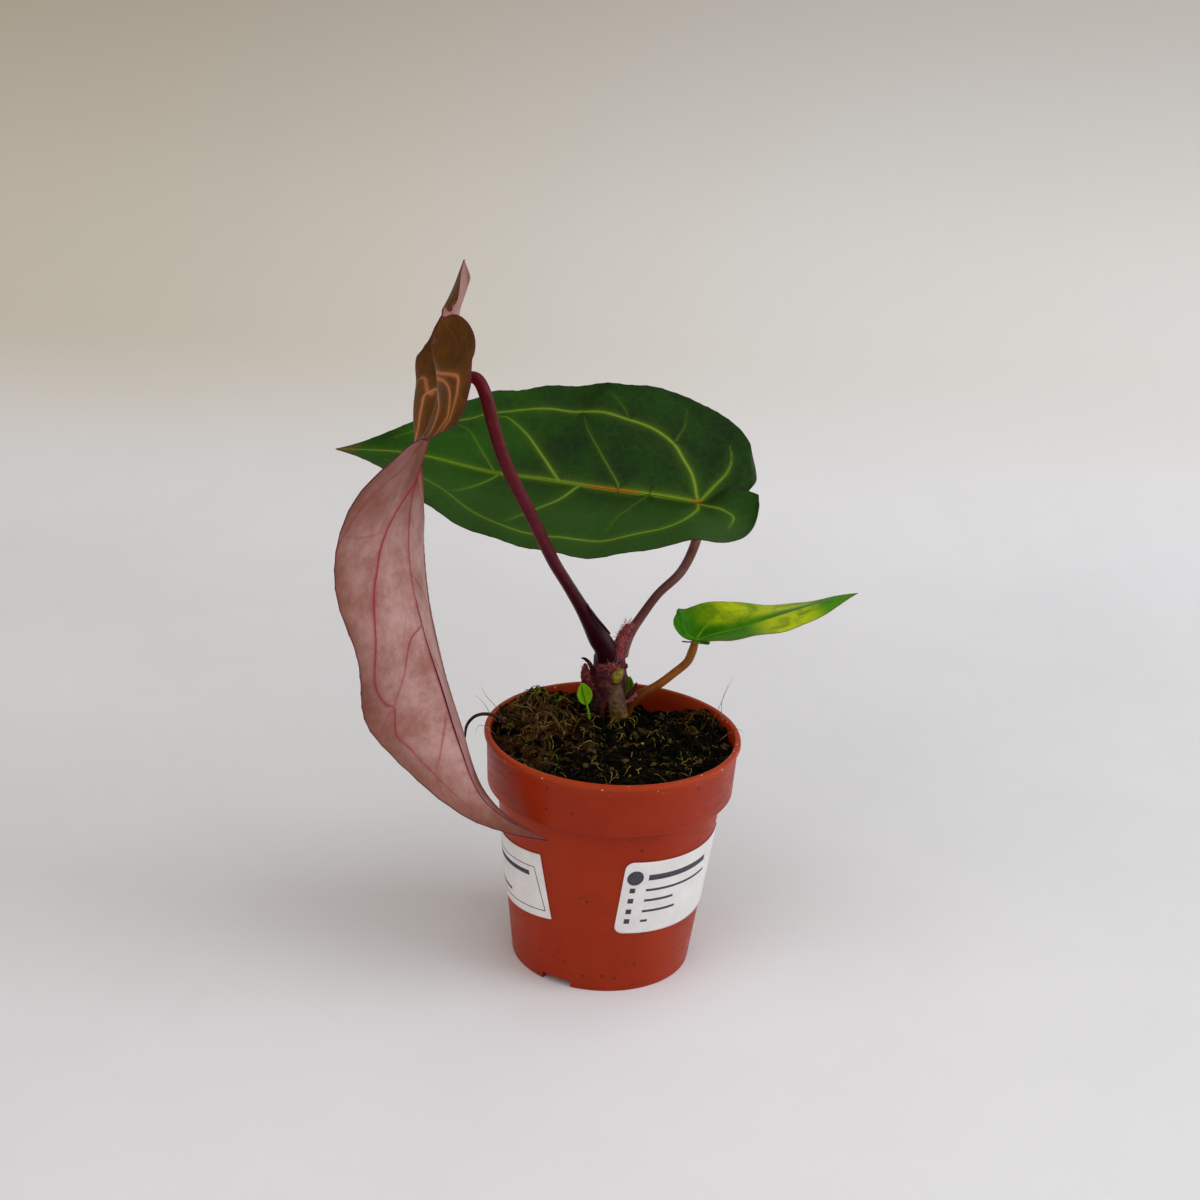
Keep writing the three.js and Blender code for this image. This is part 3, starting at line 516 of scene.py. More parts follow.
# %% Blade
class Blade:
    """A leaf blade: flat outline, midrib in space, and how the halves fold and curl."""

    NARROWEST = 0.15
    REACH = 0.5
    CURL_SHARE = 0.15
    STRAIGHT = 1e-6
    LIFT_LENGTH = 14
    LIFT_WIDTH = 40
    FAR_PHASE = 1.3

    def __init__(self, rows, petiole_row, side, width, lobe_x, lobe_y, outline,
                 ripple, overlap=0.0, lift=0.0, pinch=None):
        self.rows = np.array(rows, float)
        self.side = np.array(side, float)
        along = lengths(self.rows[:, :3])
        self.xs = along - along[petiole_row]
        self.tip, self.back = self.xs[-1], -self.xs[0]
        self.width, self.lobe_x, self.lobe_y = width, lobe_x, lobe_y
        self.outline = np.array(outline, float)
        self.ripple, self.overlap, self.lift, self.pinch = ripple, overlap, lift, pinch

    def widest(self, x):
        places, shares = self.outline[:, 0] * self.tip, self.outline[:, 1] * self.width
        return smooth(places, shares, np.maximum(x, self.lobe_x))

    def outer(self, x, half):
        """Distance of the outer margin from the midrib."""
        centre = self.lobe_y[0 if half > 0 else 1]
        k = np.clip((self.lobe_x - x) / (self.lobe_x + self.back), 0, 1)
        lobe = centre + (self.widest(x) - centre) * np.sqrt(1 - k * k)
        return np.where(x < self.lobe_x, lobe, np.maximum(self.widest(x), self.NARROWEST))

    def inner(self, x, half):
        """Distance of a lobe's inner margin, which is 0 along the midrib."""
        centre = self.lobe_y[0 if half > 0 else 1]
        k = np.clip(-x / self.back, 0, 1)
        over = self.overlap * np.sin(math.pi * k) if half > 0 else 0.0
        return np.where(x < 0, centre * (1 - np.sqrt(1 - k * k)) - over, 0.0)

    def directions(self, x):
        """The ways along the midrib, across it and up from it."""
        line = self.rows[:, :3]
        ahead = smooth(self.xs, line, np.minimum(x + self.REACH, self.tip))
        behind = smooth(self.xs, line, np.maximum(x - self.REACH, -self.back))
        tangent = unit(ahead - behind)
        across = unit(self.side - tangent * (tangent @ self.side)[:, None])
        return tangent, across, np.cross(tangent, across)

    def bent(self, x, y, half):
        """Flat places of one half, y counted from the midrib, carried into space."""
        _, across, upward = self.directions(x)
        rows = smooth(self.xs, self.rows[:, 3:], x)
        fold = np.radians(rows[:, 0 if half > 0 else 2])
        width = self.outer(x, half)
        curl = np.radians(rows[:, 1 if half > 0 else 3])
        curl = curl / np.maximum(width, self.width * self.CURL_SHARE)
        curl = np.where(np.abs(curl) < self.STRAIGHT, self.STRAIGHT, curl)
        angle = fold + curl * y
        a = (np.sin(angle) - np.sin(fold)) / curl
        b = (np.cos(fold) - np.cos(angle)) / curl
        if half > 0:
            u = np.clip(-x / self.LIFT_LENGTH, 0, 1)
            v = np.clip(1 - y / self.LIFT_WIDTH, 0, 1.2)
            b = b + self.lift * u * u * (3 - 2 * u) * v * v
        height, length, phase = self.ripple
        turn = 2 * math.pi * x / length + phase + (0 if half > 0 else self.FAR_PHASE)
        wave = height * (y / self.width) ** 2 * np.sin(turn)
        a, b = a - wave * np.sin(angle), b + wave * np.cos(angle)
        centre = smooth(self.xs, self.rows[:, :3], x)
        places = centre + half * a[:, None] * across + b[:, None] * upward
        if half < 0 and self.pinch is not None:
            self.gather(places)
        return places

    def gather(self, places):
        """Draw the top of the far lobe together towards an upright line."""
        line, low, high, share, drop = self.pinch
        height = np.clip((places[:, 2] - low) / (high - low), 0, 1)
        places[:, 0] += share * height**1.5 * (line - places[:, 0])
        places[:, 2] -= drop * height**6


print("a margin is never nearer its midrib than", Blade.NARROWEST, "mm")

# %% [markdown]
# ## The three leaves
# Each row is a place on the midrib and four angles in degrees: fold and curl of one half,
# then of the other. The rows run from behind the petiole to the tip. Each outline is a
# row of places along the leaf with its width there, both as shares of the whole.

# %% Three leaves, laid out and bent
green = Blade(
    rows=[
        (62, 47, 212, -17, 31, 29, -10), (58, 47, 212, -16, 25, 37, -8),
        (35, 47, 213, 3, -4, 40, -8), (18, 47, 215, -3, -2, 43, -7),
        (-11, 48, 217, -11, -5, 42, -4), (-36, 50, 219, -12, -4, 37, -6),
        (-62, 53, 220, -11, -4, 37, -6), (-79, 56, 222, -8, -3, 36, -2),
        (-93, 59, 224, -11, 0, 32, 4), (-111, 62, 225, -11, 2, 25, 2),
        (-140, 67, 223, -10, 0, 14, 2)],
    petiole_row=2, side=(0, -1, 0), width=63, lobe_x=4, lobe_y=(3, 21),
    outline=[(0, .9), (.1, .96), (.27, .97), (.41, .95), (.55, .85), (.66, .74), (.74, .52),
             (.85, .27), (.93, .11), (1, 0)],
    ripple=(0.7, 27, 0), overlap=0.4, lift=9)

copper = Blade(
    rows=[
        (-93, -35, 310, 16, -128, -158, 79), (-86, -29, 305, 24, -104, -46, 28),
        (-81, -23, 284, 19, -61, -38, 112), (-84, -22, 268, 12, -25, 36, -35),
        (-89, -24, 255, 5, 12, 31, -60), (-95, -29, 228, 13, 35, -26, 56),
        (-94, -32, 200, 21, 46, -20, 44), (-87, -36, 172, 25, 35, -8, 20),
        (-78, -39, 147, 49, 36, 2, 12), (-69, -43, 122, 48, 35, -2, 12),
        (-59, -47, 100, 31, -5, -3, 20), (-46, -49, 89, 25, -9, -3, 27),
        (-27, -51, 81, 19, 4, 0, 10)],
    petiole_row=2, side=(0, -1, 0), width=46, lobe_x=4, lobe_y=(18, 22),
    outline=[(0, .98), (.12, 1), (.29, .95), (.42, .88), (.53, .8), (.64, .79), (.74, .57),
             (.82, .39), (.9, .19), (1, 0)],
    ripple=(1.4, 58, 0.6), pinch=(-74.8, 303, 338, 0.95, 3))

lime = Blade(
    rows=[
        (28, 27, 150, 35, 0, 24, 0), (32, 28, 150, 33, 0, 20, 0), (37, 30, 150, 31, 0, 16, 0),
        (46, 32, 153, 25, 0, 12, 0), (58, 34, 156, 17, 0, 8, 0), (76, 38, 162, -3, 0, -1, 0),
        (95, 42, 168, -14, 0, -3, 0), (113, 45, 173, -5, 0, -5, 0)],
    petiole_row=2, side=(0, 1, 0), width=22, lobe_x=2, lobe_y=(10, 10),
    outline=[(0, .9), (.15, 1), (.35, 1), (.6, .88), (.75, .65), (.85, .4), (.93, .17), (1, 0)],
    ripple=(0.4, 24, 0))

for name, blade in (("green", green), ("copper", copper), ("lime", lime)):
    print(f"{name} blade: {blade.tip + blade.back:.0f} mm long, {2 * blade.width} mm wide")

# %% [markdown]
# ## Veins
# The veins are drawn on the flat leaf, as lines of (x, y) places with a width in
# millimetres at both ends and a strength. An anthurium has a midrib, a strong vein that
# leaves the petiole for each lobe, a collective vein that bows round towards the tip, and
# a few laterals between. They are drawn where this plant has them.

# %% Veins laid out flat
VEIN_STEP = 0.35
VEIN_FADE = 0.75

GREEN_VEINS = [
    ([(0, 0), (40, 0), (90, 0), (140, 0), (176, 0)], 2.3, 0.8, 1.0),
    ([(1, 0), (5, -14), (11, -23), (16, -30), (25, -36), (38, -40), (53, -43), (68, -43),
      (78, -43), (95, -40), (109, -35), (128, -24), (150, -10)], 1.6, 0.6, 0.7),
    ([(1, 3), (2, 14), (9, 31), (17, 39), (25, 42), (39, 47), (51, 47), (59, 48), (66, 49),
      (86, 45), (108, 33), (130, 19), (150, 9)], 1.4, 0.5, 0.62),
    ([(0, -1), (-6, -10), (-12, -19), (-14, -27), (-13, -35)], 1.2, 0.5, 0.75),
    ([(0, 2), (-5, 9), (-11, 15), (-15, 19), (-12, 31)], 1.2, 0.5, 0.75),
    ([(66, 0), (68, -1), (78, -14), (88, -26), (100, -34), (108, -33)], 1.4, 0.7, 0.7),
    ([(39, 0), (40, -4), (51, -20), (59, -32), (63, -42)], 0.9, 0.4, 0.35),
    ([(57, 0), (59, 4), (65, 17), (75, 29), (86, 42)], 1.3, 0.6, 0.62),
    ([(96, 0), (98, 6), (108, 24), (113, 29)], 1.0, 0.45, 0.45),
    ([(24, 0), (31, 14), (38, 28), (43, 45)], 0.8, 0.4, 0.18),
    ([(98, 0), (108, -11), (118, -21), (128, -24)], 0.9, 0.4, 0.3),
    ([(16, -30), (12, -42), (12, -52)], 0.8, 0.4, 0.2),
    ([(38, -40), (44, -49), (52, -56)], 0.7, 0.4, 0.18),
]
COPPER_VEINS = [
    ([(0, 0), (60, 0), (120, 0), (180, 0), (230, 0)], 1.3, 0.6, 0.7),
    ([(40, 0), (46, 2), (55, 12), (64, 18), (73, 21), (81, 22), (90, 24), (109, 28),
      (126, 30), (139, 26), (142, 23), (155, 25), (163, 21), (176, 16), (200, 8)],
     1.2, 0.5, 0.9),
    ([(0, 2), (-10, 12), (-16, 24), (-17, 33), (-12, 36), (-2, 39), (8, 45)],
     2.0, 0.9, 0.75),
    ([(0, 2), (-8, 14), (-13, 25), (-11, 31), (-3, 36), (12, 45)], 2.0, 0.9, 0.75),
    ([(0, 2), (-3, 14), (-3, 22), (1, 28), (8, 35), (15, 40), (28, 43)], 2.0, 0.9, 0.75),
    ([(0, 1), (4, 12), (14, 20), (26, 25), (39, 29), (46, 34), (51, 37), (56, 39), (63, 41),
      (71, 43), (95, 42), (118, 38)], 1.2, 0.4, 0.6),
    ([(66, 20), (67, 30), (66, 41)], 0.7, 0.5, 0.4),
    ([(112, 0), (116, 10), (129, 16), (142, 23)], 0.9, 0.6, 0.75),
    ([(156, 2), (170, 10), (177, 15), (184, 16)], 0.8, 0.5, 0.55),
    ([(96, 0), (104, 8), (116, 15), (124, 26)], 0.6, 0.35, 0.25),
    ([(142, 23), (150, 30), (160, 34)], 0.6, 0.3, 0.3),
    ([(0, -2), (5, -9), (14, -19), (18, -15), (27, -11), (32, -15), (44, -26), (62, -33),
      (95, -36), (130, -33), (165, -25), (200, -10)], 2.1, 0.6, 0.85),
    ([(12, -14), (13, -19), (12, -34), (20, -40)], 1.4, 0.6, 0.7),
    ([(3, -6), (-2, -14), (-8, -20), (-16, -26)], 1.1, 0.5, 0.6),
    ([(40, 0), (52, -10), (66, -20), (88, -32)], 1.0, 0.4, 0.6),
    ([(88, 0), (100, -12), (116, -24), (126, -33)], 0.8, 0.4, 0.5),
    ([(126, 0), (138, -12), (152, -22), (162, -26)], 0.8, 0.4, 0.5),
    ([(160, 0), (172, -8), (184, -16)], 0.7, 0.4, 0.4),
]
LIME_VEINS = [
    ([(0, 0), (25, 0), (50, 0), (79, 0)], 0.9, 0.4, 0.9),
    ([(1, 1), (4, 4), (8, 7), (14, 10), (26, 14), (42, 13), (58, 8), (70, 3)], 0.9, 0.3, 0.8),
    ([(1, -1), (4, -5), (9, -9), (17, -13), (30, -14), (46, -12), (60, -7), (70, -3)],
     0.7, 0.3, 0.6),
    ([(0, 1), (-3, 4), (-4, 9), (-2, 14)], 0.7, 0.3, 0.6),
    ([(0, -1), (-3, -4), (-4, -8), (-2, -13)], 0.7, 0.3, 0.6),
    ([(28, 0), (35, 6), (42, 13)], 0.4, 0.25, 0.3),
    ([(24, 0), (32, -7), (40, -13)], 0.4, 0.25, 0.3),
]


class Veins:
    """The drawn veins as a cloud of close points with a width and a strength each."""

    def __init__(self, lines):
        points, widths, strengths = [], [], []
        for line, start, end, strength in lines:
            line = np.array(line, float)
            along = lengths(line)
            at = np.linspace(0, along[-1], int(along[-1] / VEIN_STEP) + 2)
            share = at / along[-1]
            points.append(smooth(along, line, at))
            widths.append(start + (end - start) * share)
            strengths.append(strength * (1 - VEIN_FADE * share**3))
        self.points = np.concatenate(points)
        self.widths = np.concatenate(widths)
        self.strengths = np.concatenate(strengths)
        self.tree = kdtree.KDTree(len(self.points))
        for i, (x, y) in enumerate(self.points):
            self.tree.insert((x, y, 0), i)
        self.tree.balance()

    def near(self, flat):
        """Distance to the nearest vein, with that vein's width and strength."""
        found = [self.tree.find((x, y, 0)) for x, y in flat]
        index = np.array([f[1] for f in found])
        return np.array([f[2] for f in found]), self.widths[index], self.strengths[index]


print("veins drawn:", len(GREEN_VEINS), len(COPPER_VEINS), len(LIME_VEINS))

# %% [markdown]
# ## A fine grid where the leaf needs it
# A blade needs a fine mesh only where something happens: along veins and at the margin.
# So each half starts as a coarse grid, and the squares near a vein or the edge are cut in
# four, twice. That keeps the piece far lighter than a grid that is fine everywhere.

# %% Half a blade laid out flat
CUT_REACH = (3.2, 1.7)
EDGE_REACH = 0.8
SINUS_SHARE = 0.12
TIP_CROWDING = 0.25


def flat_half(bm, blade, half, columns, rows, veins, coarse):
    """One half laid out flat, with squares cut finer near veins and margins."""
    back_columns, front_columns = columns
    verts, shares = sheet(bm, back_columns + front_columns, rows)
    split = back_columns / (back_columns + front_columns)
    u = shares[:, 0]
    back = -(blade.back - 0.02) * np.cos(math.pi / 2 * np.clip(u / split, 0, 1))
    t = np.clip((u - split) / (1 - split), 0, 1)
    front = (blade.tip - 0.1) * ((1 - TIP_CROWDING) * t
                                 + TIP_CROWDING * np.sin(math.pi / 2 * t))
    x = np.where(u < split - 1e-4, back, front)
    low, high = blade.inner(x, half), blade.outer(x, half)
    y = low + (high - low) * shares[:, 1]
    move_to(verts, np.stack([x, y * half, shares[:, 1]], 1))
    for cut_reach in CUT_REACH:
        faces = bm.faces[:]
        centres = np.array([f.calc_center_median() for f in faces])
        away, _, _ = veins.near(centres[:, :2])
        reach = cut_reach * coarse
        edge = (1 - centres[:, 2]) * (blade.outer(centres[:, 0], half)
                                      - blade.inner(centres[:, 0], half))
        sinus = (centres[:, 0] < 0) & (centres[:, 2] < SINUS_SHARE)
        fine = (away < reach) | (edge < reach * EDGE_REACH) | sinus
        edges = {e for f, chosen in zip(faces, fine) if chosen for e in f.edges}
        bmesh.ops.subdivide_edges(bm, edges=list(edges), cuts=1, use_grid_fill=True)


print("squares are cut within", CUT_REACH, "mm of a vein")

# %% [markdown]
# ## From the flat leaf to the blade
# The margin is scalloped, the halves are bent and laid together at the midrib, and a
# Solidify modifier gives the blade its thickness. The weight of each point tells it how
# thick, so the veins stand out as ridges below, as on the real leaf. How near each point
# lies to a vein or a margin is kept as an attribute, for the finish to read.
#
# Points of the two halves that still meet are joined. But each half is sunk along its own
# normals first, so where the leaf is folded they don't meet, and a slit of up to 0.35 mm
# stays open along the midrib.

# %% Scallops and thickness
SCALLOP_DEPTH = 4
SCALLOP_FADE = 20


def scalloped(blade, x, y, depth, length, height):
    """The margin drawn in and out by small round scallops, which fade at the tip."""
    notch = height * np.abs(np.sin(math.pi * x / length + 0.8 * np.sin(x / 11))) ** 0.7
    near_margin = np.clip(1 - depth / SCALLOP_DEPTH, 0, 1)
    return y - notch * near_margin * np.clip((blade.tip - x) / SCALLOP_FADE, 0, 1)


def thicken(piece, below_and_rim):
    """A Solidify modifier that follows the weight of each point."""
    mesh = piece.data
    thick = np.empty(len(mesh.vertices))
    mesh.attributes["weight"].data.foreach_get("value", thick)
    most = thick.max()
    weights = piece.vertex_groups.new(name="thickness")
    for i, value in enumerate(thick / most):
        weights.add([i], value, "REPLACE")
    solid = piece.modifiers.new("thickness", "SOLIDIFY")
    solid.thickness = most * MM
    solid.offset = -1.0
    solid.vertex_group = "thickness"
    solid.material_offset, solid.material_offset_rim = below_and_rim
    return most


print("scallops reach", SCALLOP_DEPTH, "mm in from the margin")

# %% Blade mesh
MIDRIB_WELD = 0.03 * MM
VEIN_SINK = 0.12
VEIN_SHARPNESS = 1.6
DIP_WIDTH = 4.5
MARGIN_WIDTH = 0.45
ROUNDED_EDGE = 0.8
EDGE_SHARE = 0.45
WIDEST_RIDGE = 1.5
EDGE_FADE = 13
SINUS_FADE = 0.7
FAR_AWAY = 99


def grow_blade(name, blade, lines, columns, rows, scallop, materials, coarse=1.0,
               thickness=0.6, ridge=1.3, quilt=0.35):
    """A blade piece with its veins, margin and thickness, in place of the CAD node."""
    veins = Veins(lines)
    whole = bmesh.new()
    for half in (1, -1):
        bm = bmesh.new()
        flat_half(bm, blade, half, columns, rows, veins, coarse)
        part = np.array([v.co for v in bm.verts])
        x, y, share = part[:, 0], part[:, 1] * half, part[:, 2]
        depth = (1 - share) * (blade.outer(x, half) - blade.inner(x, half))
        y = scalloped(blade, x, y, depth, *scallop)
        away, width, strength = veins.near(np.stack([x, y * half], 1))
        line = strength * np.exp(-VEIN_SHARPNESS * (away / (0.55 * width)) ** 2)
        dip = strength * np.exp(-(away / DIP_WIDTH) ** 2)
        halo = strength * np.exp(-away / (0.9 * width + 0.4))
        inner_edge = np.where(x < 0, share * (blade.outer(x, half) - blade.inner(x, half)),
                              FAR_AWAY)
        margin = np.clip(1.25 - np.minimum(depth, inner_edge) / MARGIN_WIDTH, 0, 1)
        surface = blade.bent(x, y, half)
        for vert, point in zip(bm.verts, surface):
            vert.co = point
        bm.normal_update()
        normals = np.array([v.normal for v in bm.verts])
        _, _, upward = blade.directions(x)
        facing = 1.0 if np.sign((normals * upward).sum(1)).mean() > 0 else -1.0
        surface = surface - normals * facing * (VEIN_SINK * line + quilt * dip)[:, None]
        if facing < 0:
            bmesh.ops.reverse_faces(bm, faces=bm.faces[:])
        move_to(bm.verts, placed(surface))
        write_uv(bm, bm.verts, np.stack([x / FLAT_UNIT, y * half / FLAT_UNIT], 1))
        mesh = bpy.data.meshes.new("half")
        bm.to_mesh(mesh)
        bm.free()
        rounded = np.clip(np.minimum(depth, inner_edge) / ROUNDED_EDGE, 0, 1)
        thick = (EDGE_SHARE + (1 - EDGE_SHARE) * rounded) * thickness
        thick = thick + ridge * line * np.clip(width, 0.3, WIDEST_RIDGE)
        for key, values in (("vein", line), ("margin", margin), ("weight", thick),
                            ("halo", halo), ("edge", np.exp(-depth / EDGE_FADE)),
                            ("sinus", np.exp(-inner_edge / SINUS_FADE))):
            layer = mesh.attributes.new(key, "FLOAT", "POINT")
            layer.data.foreach_set("value", values)
        whole.from_mesh(mesh)
        bpy.data.meshes.remove(mesh)
    whole.verts.ensure_lookup_table()
    bmesh.ops.remove_doubles(whole, verts=whole.verts[:], dist=MIDRIB_WELD)
    mesh = bpy.data.meshes.new(name)
    whole.to_mesh(mesh)
    whole.free()
    for material in materials:
        mesh.materials.append(material)
    mesh.polygons.foreach_set("use_smooth", [True] * len(mesh.polygons))
    piece = bpy.data.objects.new(name, mesh)
    bpy.context.collection.objects.link(piece)
    most = thicken(piece, (1, 2))
    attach(piece, "root")
    print(f"{name}: {len(mesh.polygons)} faces, {most:.2f} mm thick at the midrib")
    return piece


print("the halves are joined where their points are within", MIDRIB_WELD / MM, "mm")

# %% [markdown]
# ## Finishes of the leaves
# Each blade has two faces. The grown leaf is deep green above with yellow-green veins.
# The new leaf is copper above and dusty pink below with red veins, and a thin dark purple
# line runs round every margin. The small leaf is lime with cloudy yellow patches. All of
# it is drawn on the leaf's own flat map, so the pattern bends with the blade.

# %% Leaf finish
LEAF_SHINE = 0.1
VEIN_STRENGTH = 1.25
LEAF_GRAIN = 220.0
LEAF_RELIEF = 0.00012


def leaf_material(name, deep, pale, vein_colour, margin_colour, net=0.25, net_scale=16.0,
                  roughness=0.45, glow=0.0, wash=None, flush=None, sinus=None):
    """A leaf face: mottled colour, fine net, drawn veins with a glow, and margin."""
    made, tree, shader = finish_material(name, Specular_IOR_Level=LEAF_SHINE)
    place = flat_place(tree)
    tone = effect(tree, mottle_group, Place=place, Scale=5.0)["Value"]
    colour = blend(tree, tone, deep, pale)
    if wash is not None:
        colour = wash(tree, place, colour)
    if flush is not None:
        vein_colour = flush(tree, place, vein_colour)
    halo = calc(tree, "MULTIPLY", attribute(tree, "halo"), glow)
    colour = blend(tree, halo, colour, vein_colour)
    small = effect(tree, net_group, Place=place, Scale=net_scale)
    vein = attribute(tree, "vein")
    lines = calc(tree, "MULTIPLY", small["Line"], net)
    colour = blend(tree, lines, colour, vein_colour)
    drawn = calc(tree, "MINIMUM", calc(tree, "MULTIPLY", vein, VEIN_STRENGTH), 1.0)
    colour = blend(tree, drawn, colour, vein_colour)
    colour = blend(tree, attribute(tree, "margin"), colour, margin_colour)
    if sinus is not None:
        colour = blend(tree, attribute(tree, "sinus"), colour, sinus)
    rough = spread(tree, tone, 0.0, 1.0, roughness - 0.05, roughness + 0.08)
    grain = cloud(tree, place, LEAF_GRAIN, 3.0)
    height = calc(tree, "ADD", small["Height"], calc(tree, "MULTIPLY", grain, 0.25))
    feed(tree, shader, Base_Color=colour, Roughness=rough,
         Normal=relief(tree, height, LEAF_RELIEF, 0.6))
    return made


print("a leaf's specular level:", LEAF_SHINE)

# %% [markdown]
# ## The green leaf
# The grown leaf is nearly black-green and brighter towards its tip, and a painted sheen makes
# the half that lies nearer the light paler. Its midrib is flushed with orange where it is
# youngest, and its tip has dried brown. Washes like these depend on where they lie on the
# leaf, so they read the flat map, along and across, rather than a pattern.

# %% Green leaf
DRY_TIP = (1.63, 1.72)
FLUSH_PLACE = 0.42


def tip_tone_and_sheen(tree, place, colour):
    """Brighter green towards the tip, a painted sheen on the near half and a dry brown tip."""
    along, across, _ = along_and_across(tree, place)
    clouds = calc(tree, "MULTIPLY", cloud(tree, place, 3.0, 3.0),
                  spread(tree, along, 0.3, 1.3, 0.3, 1.0))
    colour = blend(tree, spread(tree, clouds, 0.2, 0.6, 0.0, 0.7), colour, paint(34, 82, 2))
    # Painted sheen: the near half is made paler green, as light falls on it at its angle.
    near = spread(tree, across, 0.0, 0.3, 0.0, 0.7)
    colour = blend(tree, near, colour, paint(42, 80, 20))
    return blend(tree, spread(tree, along, *DRY_TIP), colour, paint(86, 60, 22))


def warm_rib(tree, place, colour):
    """An orange-red flush at the petiole and on a stretch of the midrib."""
    along, across, _ = along_and_across(tree, place)
    centre = spread(tree, calc(tree, "ABSOLUTE", across), 0.008, 0.02, 1.0, 0.0)
    past = calc(tree, "SUBTRACT", along, FLUSH_PLACE)
    stretch = spread(tree, calc(tree, "ABSOLUTE", past), 0.08, 0.16, 1.0, 0.0)
    base = spread(tree, calc(tree, "ABSOLUTE", along), 0.01, 0.06, 1.0, 0.0)
    flush = calc(tree, "MULTIPLY", centre, calc(tree, "MAXIMUM", stretch, base))
    return blend(tree, calc(tree, "MULTIPLY", flush, 0.6), colour, paint(196, 88, 10))


PURPLE_MARGIN = paint(50, 12, 34)
green_above = leaf_material(
    "green_above", paint(12, 38, 1), paint(24, 60, 4), paint(124, 154, 34), PURPLE_MARGIN,
    net=0.03, roughness=0.45, glow=0.42, wash=tip_tone_and_sheen, flush=warm_rib)
green_below = leaf_material(
    "green_below", paint(66, 104, 44), paint(92, 130, 62), paint(140, 164, 80),
    PURPLE_MARGIN, net=0.15, roughness=0.6)
green_rim = leaf_material(
    "green_rim", paint(56, 18, 36), paint(68, 28, 42), paint(68, 28, 42), PURPLE_MARGIN)
print("green leaf:", [m.name for m in (green_above, green_below, green_rim)])

# %% [markdown]
# ## The copper leaf
# A new anthurium leaf has no green yet. Its upper face is copper with orange veins, and its
# lower face, which hangs towards the camera, is dusty pink with red veins. The pink turns
# brown towards the margin, the petiole and the tip, because those parts harden first.

# %% Copper leaf
COPPER_MARGIN = paint(84, 20, 56)
copper_above = leaf_material(
    "copper_above", paint(66, 42, 2), paint(98, 54, 8), paint(196, 122, 74),
    paint(92, 20, 66), net=0.05, roughness=0.5, glow=0.42, sinus=paint(132, 36, 42))


def brown_edges(tree, place, colour):
    """The dusty pink turns brown towards the margin, the petiole and the tip."""
    along, _, _ = along_and_across(tree, place)
    edge = spread(tree, attribute(tree, "edge"), 0.1, 1.0, 0.0, 0.75)
    top = calc(tree, "MULTIPLY", spread(tree, along, 0.3, 0.9, 0.75, 0.0),
               spread(tree, along, 0.0, 0.25))
    tip = spread(tree, along, 1.95, 2.3, 0.0, 0.95)
    share = calc(tree, "MAXIMUM", edge, calc(tree, "MAXIMUM", top, tip))
    rough = cloud(tree, place, 4.0, 3.0)
    share = calc(tree, "MULTIPLY", share, spread(tree, rough, 0.25, 0.6, 0.6, 1.0))
    return blend(tree, share, colour, paint(108, 58, 34))


copper_below = leaf_material(
    "copper_below", paint(152, 102, 92), paint(190, 150, 144), paint(146, 30, 52),
    COPPER_MARGIN, net=0.12, roughness=0.5, glow=0.3, wash=brown_edges)
copper_rim = leaf_material(
    "copper_rim", COPPER_MARGIN, COPPER_MARGIN, COPPER_MARGIN, COPPER_MARGIN)
print("copper leaf:", [m.name for m in (copper_above, copper_below, copper_rim)])

# %% [markdown]
# ## The lime leaf
# The small leaf is fresh green with yellow clouds where light shines through it. The clouds
# don't lie evenly: one half is clouded from near the petiole, and the other only further
# out. So noise makes the clouds, and the flat map says where they are wanted.

# %% Lime leaf
LIME_RIM = paint(110, 120, 40)


def lime_clouds(tree, place, colour):
    """Yellow clouds: on one half from near the petiole, on the other only further out."""
    along, across, _ = along_and_across(tree, place)
    far_half = calc(tree, "MULTIPLY", spread(tree, across, 0.02, 0.1),
                    spread(tree, along, 0.0, 0.18))
    near_side = calc(tree, "MULTIPLY", spread(tree, across, -0.01, 0.01, 1.0, 0.0),
                     spread(tree, along, 0.22, 0.38))
    ending = spread(tree, along, 0.5, 0.66, 1.0, 0.0)
    wanted = calc(tree, "MULTIPLY", calc(tree, "MAXIMUM", far_half, near_side), ending)
    patches = cloud(tree, place, 9.0, 4.0, 0.6, 0.5)
    share = calc(tree, "MULTIPLY", spread(tree, patches, 0.3, 0.62, 0.25, 1.0), wanted)
    return blend(tree, share, colour, paint(196, 210, 3))


lime_above = leaf_material(
    "lime_above", paint(34, 104, 2), paint(72, 142, 3), paint(118, 178, 30),
    paint(70, 56, 20), net=0.12, net_scale=26.0, roughness=0.5, wash=lime_clouds)
lime_below = leaf_material(
    "lime_below", paint(60, 122, 8), paint(92, 150, 14), paint(100, 150, 30),
    paint(96, 74, 14), net=0.1, roughness=0.6, wash=lime_clouds)
lime_rim = leaf_material("lime_rim", LIME_RIM, LIME_RIM, LIME_RIM, paint(120, 90, 40))
print("lime leaf:", [m.name for m in (lime_above, lime_below, lime_rim)])

# %% [markdown]
# ## Three blades
# Now each leaf grows from its outline, its veins and its three finishes: above, below and
# rim. Each then takes the place of the plain solid that it was laid over.

# %% Three blades
blade_mid = grow_blade("blade_mid_fine", green, GREEN_VEINS, (14, 84), 24, (6.5, 0.35),
                       [green_above, green_below, green_rim])
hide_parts("blade_mid")
blade_tall = grow_blade("blade_tall_fine", copper, COPPER_VEINS, (16, 104), 20, (8.0, 0.3),
                        [copper_above, copper_below, copper_rim],
                        ridge=0.8, quilt=0.22)
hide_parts("blade_tall")
blade_low = grow_blade("blade_low_fine", lime, LIME_VEINS, (8, 60), 12, (5.0, 0.12),
                       [lime_above, lime_below, lime_rim], coarse=0.6,
                       thickness=0.5, ridge=0.9, quilt=0.15)
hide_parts("blade_low")

